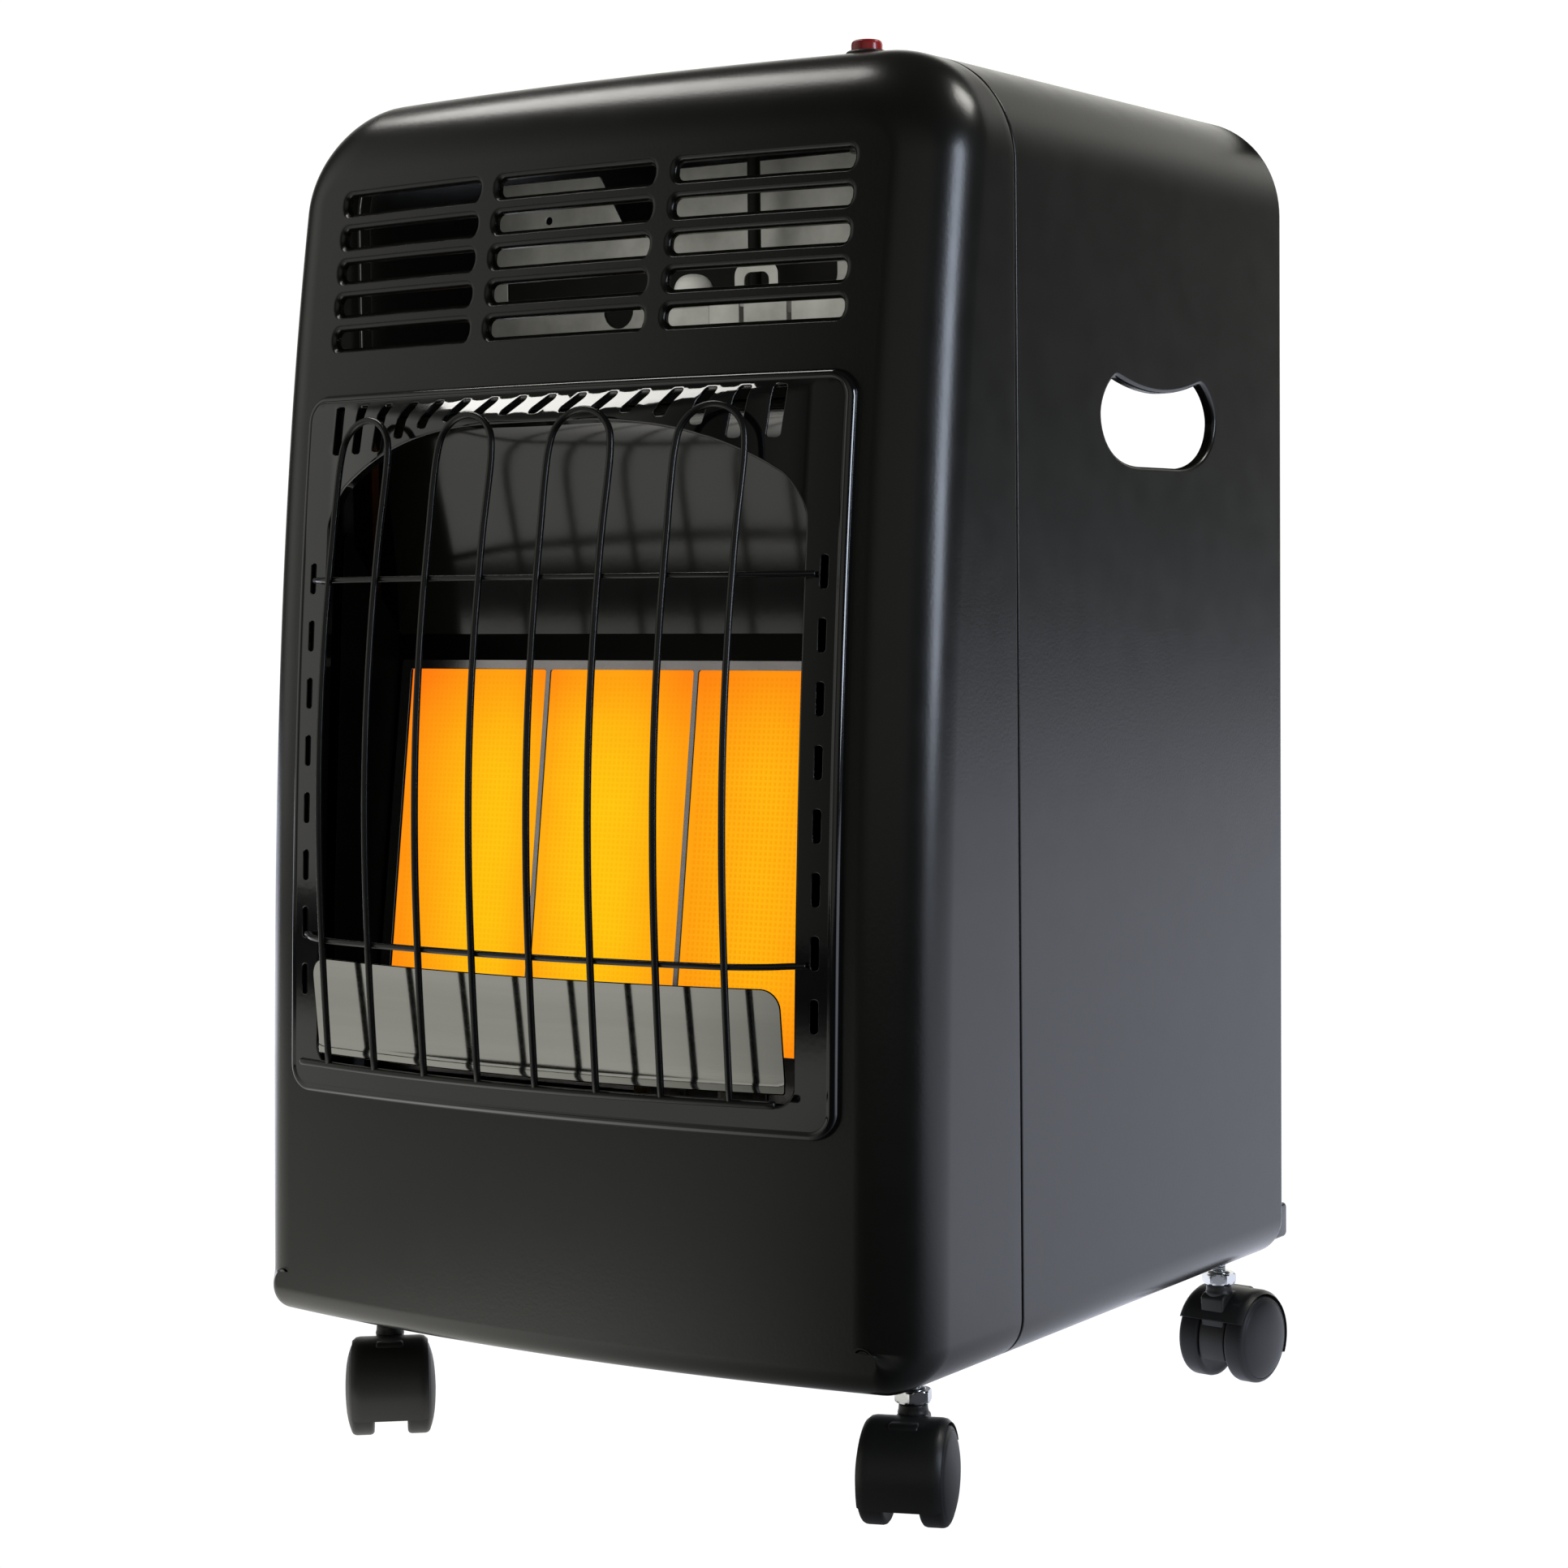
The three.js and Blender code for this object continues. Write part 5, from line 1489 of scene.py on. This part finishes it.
def hood_fender():
    """The apron over both wheels: a rounded band swept about the axle, a little barrel shaped."""
    n = 44
    rings = []
    for i in range(n + 1):
        t = i / n
        deg = -26 + 178 * t
        a = rad(deg)
        taper = min(1.0, min(t, 1 - t) / 0.06 + 0.25)
        ro, ri = 28.3, 26.1
        hw = 21.0 - 0.5 * max(0.0, sin(a)) ** 4
        th = (ro - ri) * (0.55 + 0.45 * min(1, taper))
        prof = []
        m = 20
        for k in range(m):
            # flat outer skin that turns down at its two sides
            s = -1 + 2 * k / (m - 1)
            x = hw * s
            drop = 2.2 * max(0.0, (abs(s) - 0.80) / 0.20) ** 2.2
            prof.append((x, ro - drop))
        prof2 = []
        for k in range(m):
            s = 1 - 2 * k / (m - 1)
            x = (hw - 0.9) * s
            prof2.append((x, min(ro - th, ro - 2.3)))
        loop = prof + prof2
        rings.append([(x, -14 - r * cos(a), 25 + r * sin(a)) for x, r in loop])
    v, f = [], []
    for r in rings:
        v += r
    m = len(rings[0])
    for i in range(n):
        f += [(i * m + k, i * m + (k + 1) % m, (i + 1) * m + (k + 1) % m, (i + 1) * m + k) for k in range(m)]
    f.append(tuple(range(m)))
    f.append(tuple(n * m + k for k in range(m)))
    return np.array(v, float), f


def casters():
    for name, x, y, yaw in CASTERS:
        rot, by = turned_z(yaw), (x, y, -75)
        stem = merge(threaded(4.0, 63.5, 92, 1.25), lathe([(0, 40), (3.4, 40), (3.4, 58.5), (0, 58.5)], 32),
                     nut(8.4, 57.9, 64.1, 1.3), lathe(soften([(0, 64), (6.6, 64), (6.0, 65.0), (4.2, 65.4), (0, 65.4)], 0.5), 40),
                     nut(6.5, 78.1, 83.3, 1.0))
        obj("stem_" + name, (*fixed(moved(stem, rot, by)), 28), MAT["zinc_plate"], "cabinet", ["caster_stem_" + name])
        web = []
        for i in range(49):
            a = rad(-28 + 236 * i / 48)
            web.append((-14 - 23.4 * cos(a), 25 + 23.4 * sin(a)))
        web = np.array(web[::-1])
        disc = prism(web, "x", -8.2, 8.2, 0.8, 3)
        saddle = prism(fillet([(-30, 44), (7.5, 30), (8.5, 50.6), (5, 52.6), (-26, 52.6)], [2, 3, 3, 3, 4], arc=4), "x", -7.6, 7.6, 1.4, 3)
        neck = lathe(soften([(0, 30), (7.4, 30), (7.4, 50), (7.9, 52.6), (7.4, 54.2), (7.2, 56.6), (6.6, 57.5), (0, 57.5)], 0.6, 3), 48)
        axle = moved(lathe([(0, -20), (3, -20), (3, 20), (0, 20)], 24), [[0, 0, 1], [0, 1, 0], [-1, 0, 0]], (0, -14, 25))
        hood = merge(hood_fender(), disc, saddle, neck, axle)
        obj("hood_" + name, (*fixed(moved(hood, rot, by)), 38), MAT["black_plastic"], "caster_" + name, ["caster_hood_" + name])
        # wheel: tread with soft shoulders, a fine groove inside the rim, domed disc, hub step
        prof = [(0, 20.6), (3.5, 20.6), (3.5, 9.0), (10, 9.0), (11, 9.4), (21.0, 9.4), (22.2, 9.0), (23.6, 9.1), (24.6, 9.9), (25.0, 11.2), (25.0, 18.2), (24.85, 19.3),
                (24.3, 20.4), (23.4, 21.1), (22.5, 21.5), (22.25, 21.35), (22.0, 21.6), (20, 22.3), (17, 23.1), (13, 23.8), (9, 24.2), (5, 24.45), (0, 24.6)]
        for w, s in (("a", 1), ("b", -1)):
            v, f = lathe(prof, 88)
            v = np.stack([v[:, 2] * s, v[:, 1], -v[:, 0]], 1)
            v[:, 1] += -14
            v[:, 2] += 25
            obj("wheel_%s_%s" % (name, w), (*fixed(moved((v, f), rot, by)), 38), MAT["wheel_plastic"], "wheel_%s_%s" % (name, w),
                ["caster_wheel_%s_%s" % (name, w)])


casters()

# ------------------------------------------------------------------ floor, light and camera
def graph(tree):
    """Small helpers for a node tree."""
    add, link = tree.nodes.new, tree.links.new

    def math_(op, a, b=None, c=None, clamp=False):
        n = add("ShaderNodeMath")
        n.operation = op
        n.use_clamp = clamp
        for i, v in enumerate((a, b, c)):
            if v is None:
                continue
            if isinstance(v, (int, float)):
                n.inputs[i].default_value = v
            else:
                link(v, n.inputs[i])
        return n.outputs[0]

    def step_(v, lo, hi, to0=0.0, to1=1.0):
        n = add("ShaderNodeMapRange")
        n.interpolation_type = "SMOOTHSTEP"
        link(v, n.inputs["Value"])
        n.inputs["From Min"].default_value, n.inputs["From Max"].default_value = lo, hi
        n.inputs["To Min"].default_value, n.inputs["To Max"].default_value = to0, to1
        return n.outputs[0]

    return add, link, math_, step_


def studio_floor():
    """White table and floor round the heater, seen in its reflections only."""
    me = bpy.data.meshes.new("studio_floor")
    me.from_pydata([(-9, -9, 0), (9, -9, 0), (9, 9, 0), (-9, 9, 0)], [], [(0, 1, 2, 3)])
    o = bpy.data.objects.new("studio_floor", me)
    bpy.context.scene.collection.objects.link(o)
    o.visible_camera = False
    m = bpy.data.materials.new("studio_floor")
    m.use_nodes = True
    m.node_tree.nodes.clear()
    add, link, math_, step_ = graph(m.node_tree)
    out, em, tc, sep = add("ShaderNodeOutputMaterial"), add("ShaderNodeEmission"), add("ShaderNodeTexCoord"), add("ShaderNodeSeparateXYZ")
    link(tc.outputs["Object"], sep.inputs[0])
    x, y = sep.outputs["X"], sep.outputs["Y"]
    # bright behind and to the right, a bright pool in front on the left, dark elsewhere
    back = math_("MULTIPLY", step_(math_("ADD", y, math_("MULTIPLY", x, 0.12)), -0.25, 0.38), FLOOR_BACK)
    r = math_("SQRT", math_("ADD", math_("POWER", math_("ADD", x, 0.2), 2), math_("POWER", math_("ADD", y, 0.25), 2)))
    side = step_(math_("ADD", x, math_("MULTIPLY", y, -0.1)), 0.36, -0.34)
    near = math_("SQRT", math_("ADD", math_("POWER", math_("ADD", x, 0.14), 2), math_("POWER", math_("ADD", y, 0.44), 2)))
    pool = math_("MULTIPLY", side, math_("ADD", math_("MULTIPLY", step_(r, 3.6, 2.6), FLOOR_POOL), step_(near, 0.46, 0.12, 0.0, 1.25)))
    link(math_("ADD", back, 0.02), em.inputs["Strength"])
    em.inputs["Color"].default_value = (0.82, 0.86, 1.0, 1)
    warm, both = add("ShaderNodeEmission"), add("ShaderNodeAddShader")
    link(pool, warm.inputs["Strength"])
    warm.inputs["Color"].default_value = (1.0, 0.99, 0.93, 1)
    link(em.outputs[0], both.inputs[0])
    link(warm.outputs[0], both.inputs[1])
    link(both.outputs[0], out.inputs["Surface"])
    me.materials.append(m)


FLOOR_BACK, FLOOR_POOL = 1.35, 0.56
studio_floor()


def flag(name, x0, x1, y, z0, z1):
    """Black cloth that keeps light out of the open upper back; not seen by the camera."""
    me = bpy.data.meshes.new(name)
    me.from_pydata([(x0, y, z0), (x1, y, z0), (x1, y, z1), (x0, y, z1)], [], [(0, 1, 2, 3)])
    o = bpy.data.objects.new(name, me)
    bpy.context.scene.collection.objects.link(o)
    o.visible_camera = False
    me.materials.append(MAT["sooted_steel"])


flag("rear_flag", -0.2, 0.2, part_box("casing")[1].y + 0.03, 0.52, 0.73)


def area(name, at, to, size, radiance, colour=(1, 1, 1), turn=0.0, seen=True):
    """Softbox given by its brightness; power follows from its size."""
    d = bpy.data.lights.new(name, "AREA")
    d.shape = "RECTANGLE"
    d.size, d.size_y = size
    d.energy = radiance * pi * size[0] * size[1]
    d.color = colour
    o = bpy.data.objects.new(name, d)
    o.location = at
    o.rotation_mode = "QUATERNION"
    q = (Vector(to) - Vector(at)).to_track_quat("-Z", "Y")
    if turn:
        q = q @ Matrix.Rotation(rad(turn), 3, "Z").to_quaternion()
    o.rotation_quaternion = q
    o.visible_camera = False
    bpy.context.scene.collection.objects.link(o)
    return o


# long softbox over the front, one behind for the corner, one at the right, and one small card inside
def facing(name, frm, way, far, size, radiance, colour, turn=0.0):
    f, w = Vector(frm), Vector(way).normalized()
    return area(name, f + w * far, f, size, radiance, colour, turn)


def long_box(name, a, b, to, width, radiance, colour):
    """A softbox whose long side runs from a to b."""
    a, b, to = Vector(a), Vector(b), Vector(to)
    mid = (a + b) / 2
    z = (mid - to).normalized()
    x = (b - a) - z * (b - a).dot(z)
    x.normalize()
    y = z.cross(x)
    o = area(name, mid, to, ((b - a).length, width), radiance, colour)
    o.rotation_quaternion = Matrix(((x.x, y.x, z.x), (x.y, y.y, z.y), (x.z, y.z, z.z))).to_quaternion()
    return o


top_box = long_box("soft_top", (-1.78, 0.50, 2.5), (-0.44, -0.25, 2.5), (0.0, -0.15, 0.7), 0.60, 6.0, (1, 0.985, 0.94))
top_box.data.shape = "ELLIPSE"
top_box.data.energy *= pi / 4
facing("corner_box", (0.2, -0.12, 0.69), (0.42, 0.50, 0.74), 2.0, (0.62, 0.62), 9.6, (1, 0.99, 0.93))
area("strip_right", (1.85, -0.03, 0.90), (0.207, -0.15, 0.6), (0.40, 1.02), 11.0, (0.76, 0.85, 1.0), 12.0)
area("inside_card", (-0.01, -0.145, 0.635), (-0.01, 0.2, 0.625), (0.40, 0.10), 0.55, (1, 0.99, 0.94))

world = bpy.data.worlds.new("studio")
bpy.context.scene.world = world
world.use_nodes = True
world.node_tree.nodes.clear()
add, link, math_, step_ = graph(world.node_tree)
wo, wb, wl, wm = add("ShaderNodeOutputWorld"), add("ShaderNodeBackground"), add("ShaderNodeBackground"), add("ShaderNodeMixShader")
lp, tcw, sp = add("ShaderNodeLightPath"), add("ShaderNodeTexCoord"), add("ShaderNodeSeparateXYZ")
wl.inputs["Color"].default_value = (1, 1, 1, 1)
wl.inputs["Strength"].default_value = 1.05
link(tcw.outputs["Generated"], sp.inputs[0])
# a dim wall at the front left, the rest of the room nearly dark
left = math_("MULTIPLY", step_(sp.outputs["X"], -0.12, -0.75), 0.55)
frontish = step_(sp.outputs["Y"], 0.3, -0.2)
high = step_(sp.outputs["Z"], 0.9, 0.3)
behind = math_("MULTIPLY", math_("MULTIPLY", step_(sp.outputs["Y"], 0.45, 0.8), step_(sp.outputs["X"], 0.42, 0.1)), step_(sp.outputs["Z"], 0.65, 0.3))
front_right = math_("MULTIPLY", math_("MULTIPLY", step_(sp.outputs["X"], -0.2, 0.15), step_(sp.outputs["Y"], -0.35, -0.6)), math_("MULTIPLY", high, 0.26))
room = math_("ADD", math_("ADD", math_("MULTIPLY", math_("MULTIPLY", left, frontish), high), math_("ADD", math_("MULTIPLY", behind, 1.2), front_right)), 0.035)
wb.inputs["Color"].default_value = (1.0, 0.99, 0.93, 1)
link(room, wb.inputs["Strength"])
link(lp.outputs["Is Camera Ray"], wm.inputs["Fac"])
link(wb.outputs[0], wm.inputs[1])
link(wl.outputs[0], wm.inputs[2])
link(wm.outputs[0], wo.inputs["Surface"])

cam_data = bpy.data.cameras.new("camera")
cam = bpy.data.objects.new("camera", cam_data)
bpy.context.scene.collection.objects.link(cam)
cam_data.sensor_width = 36
cam_data.lens = 4048.4 / 1932 * 36
cam_data.clip_start, cam_data.clip_end = 0.05, 60
az, el, roll = rad(33.7065), rad(3.4315), rad(-0.637)
back = Vector((sin(az) * cos(el), -cos(az) * cos(el), sin(el)))
right = (-back).cross(Vector((0, 0, 1))).normalized()
up = right.cross(-back)
R = right * cos(roll) + up * sin(roll)
U = up * cos(roll) - right * sin(roll)
cam.rotation_mode = "QUATERNION"
cam.matrix_world = Matrix(((R.x, U.x, back.x, 1.0085), (R.y, U.y, back.y, (-1405.5 + DY) / 1000), (R.z, U.z, back.z, (385.4 + DZ) / 1000), (0, 0, 0, 1)))
bpy.context.scene.camera = cam

vs = bpy.context.scene.view_settings
vs.view_transform = "Standard"
vs.look = "None"
vs.exposure = 0
vs.gamma = 1
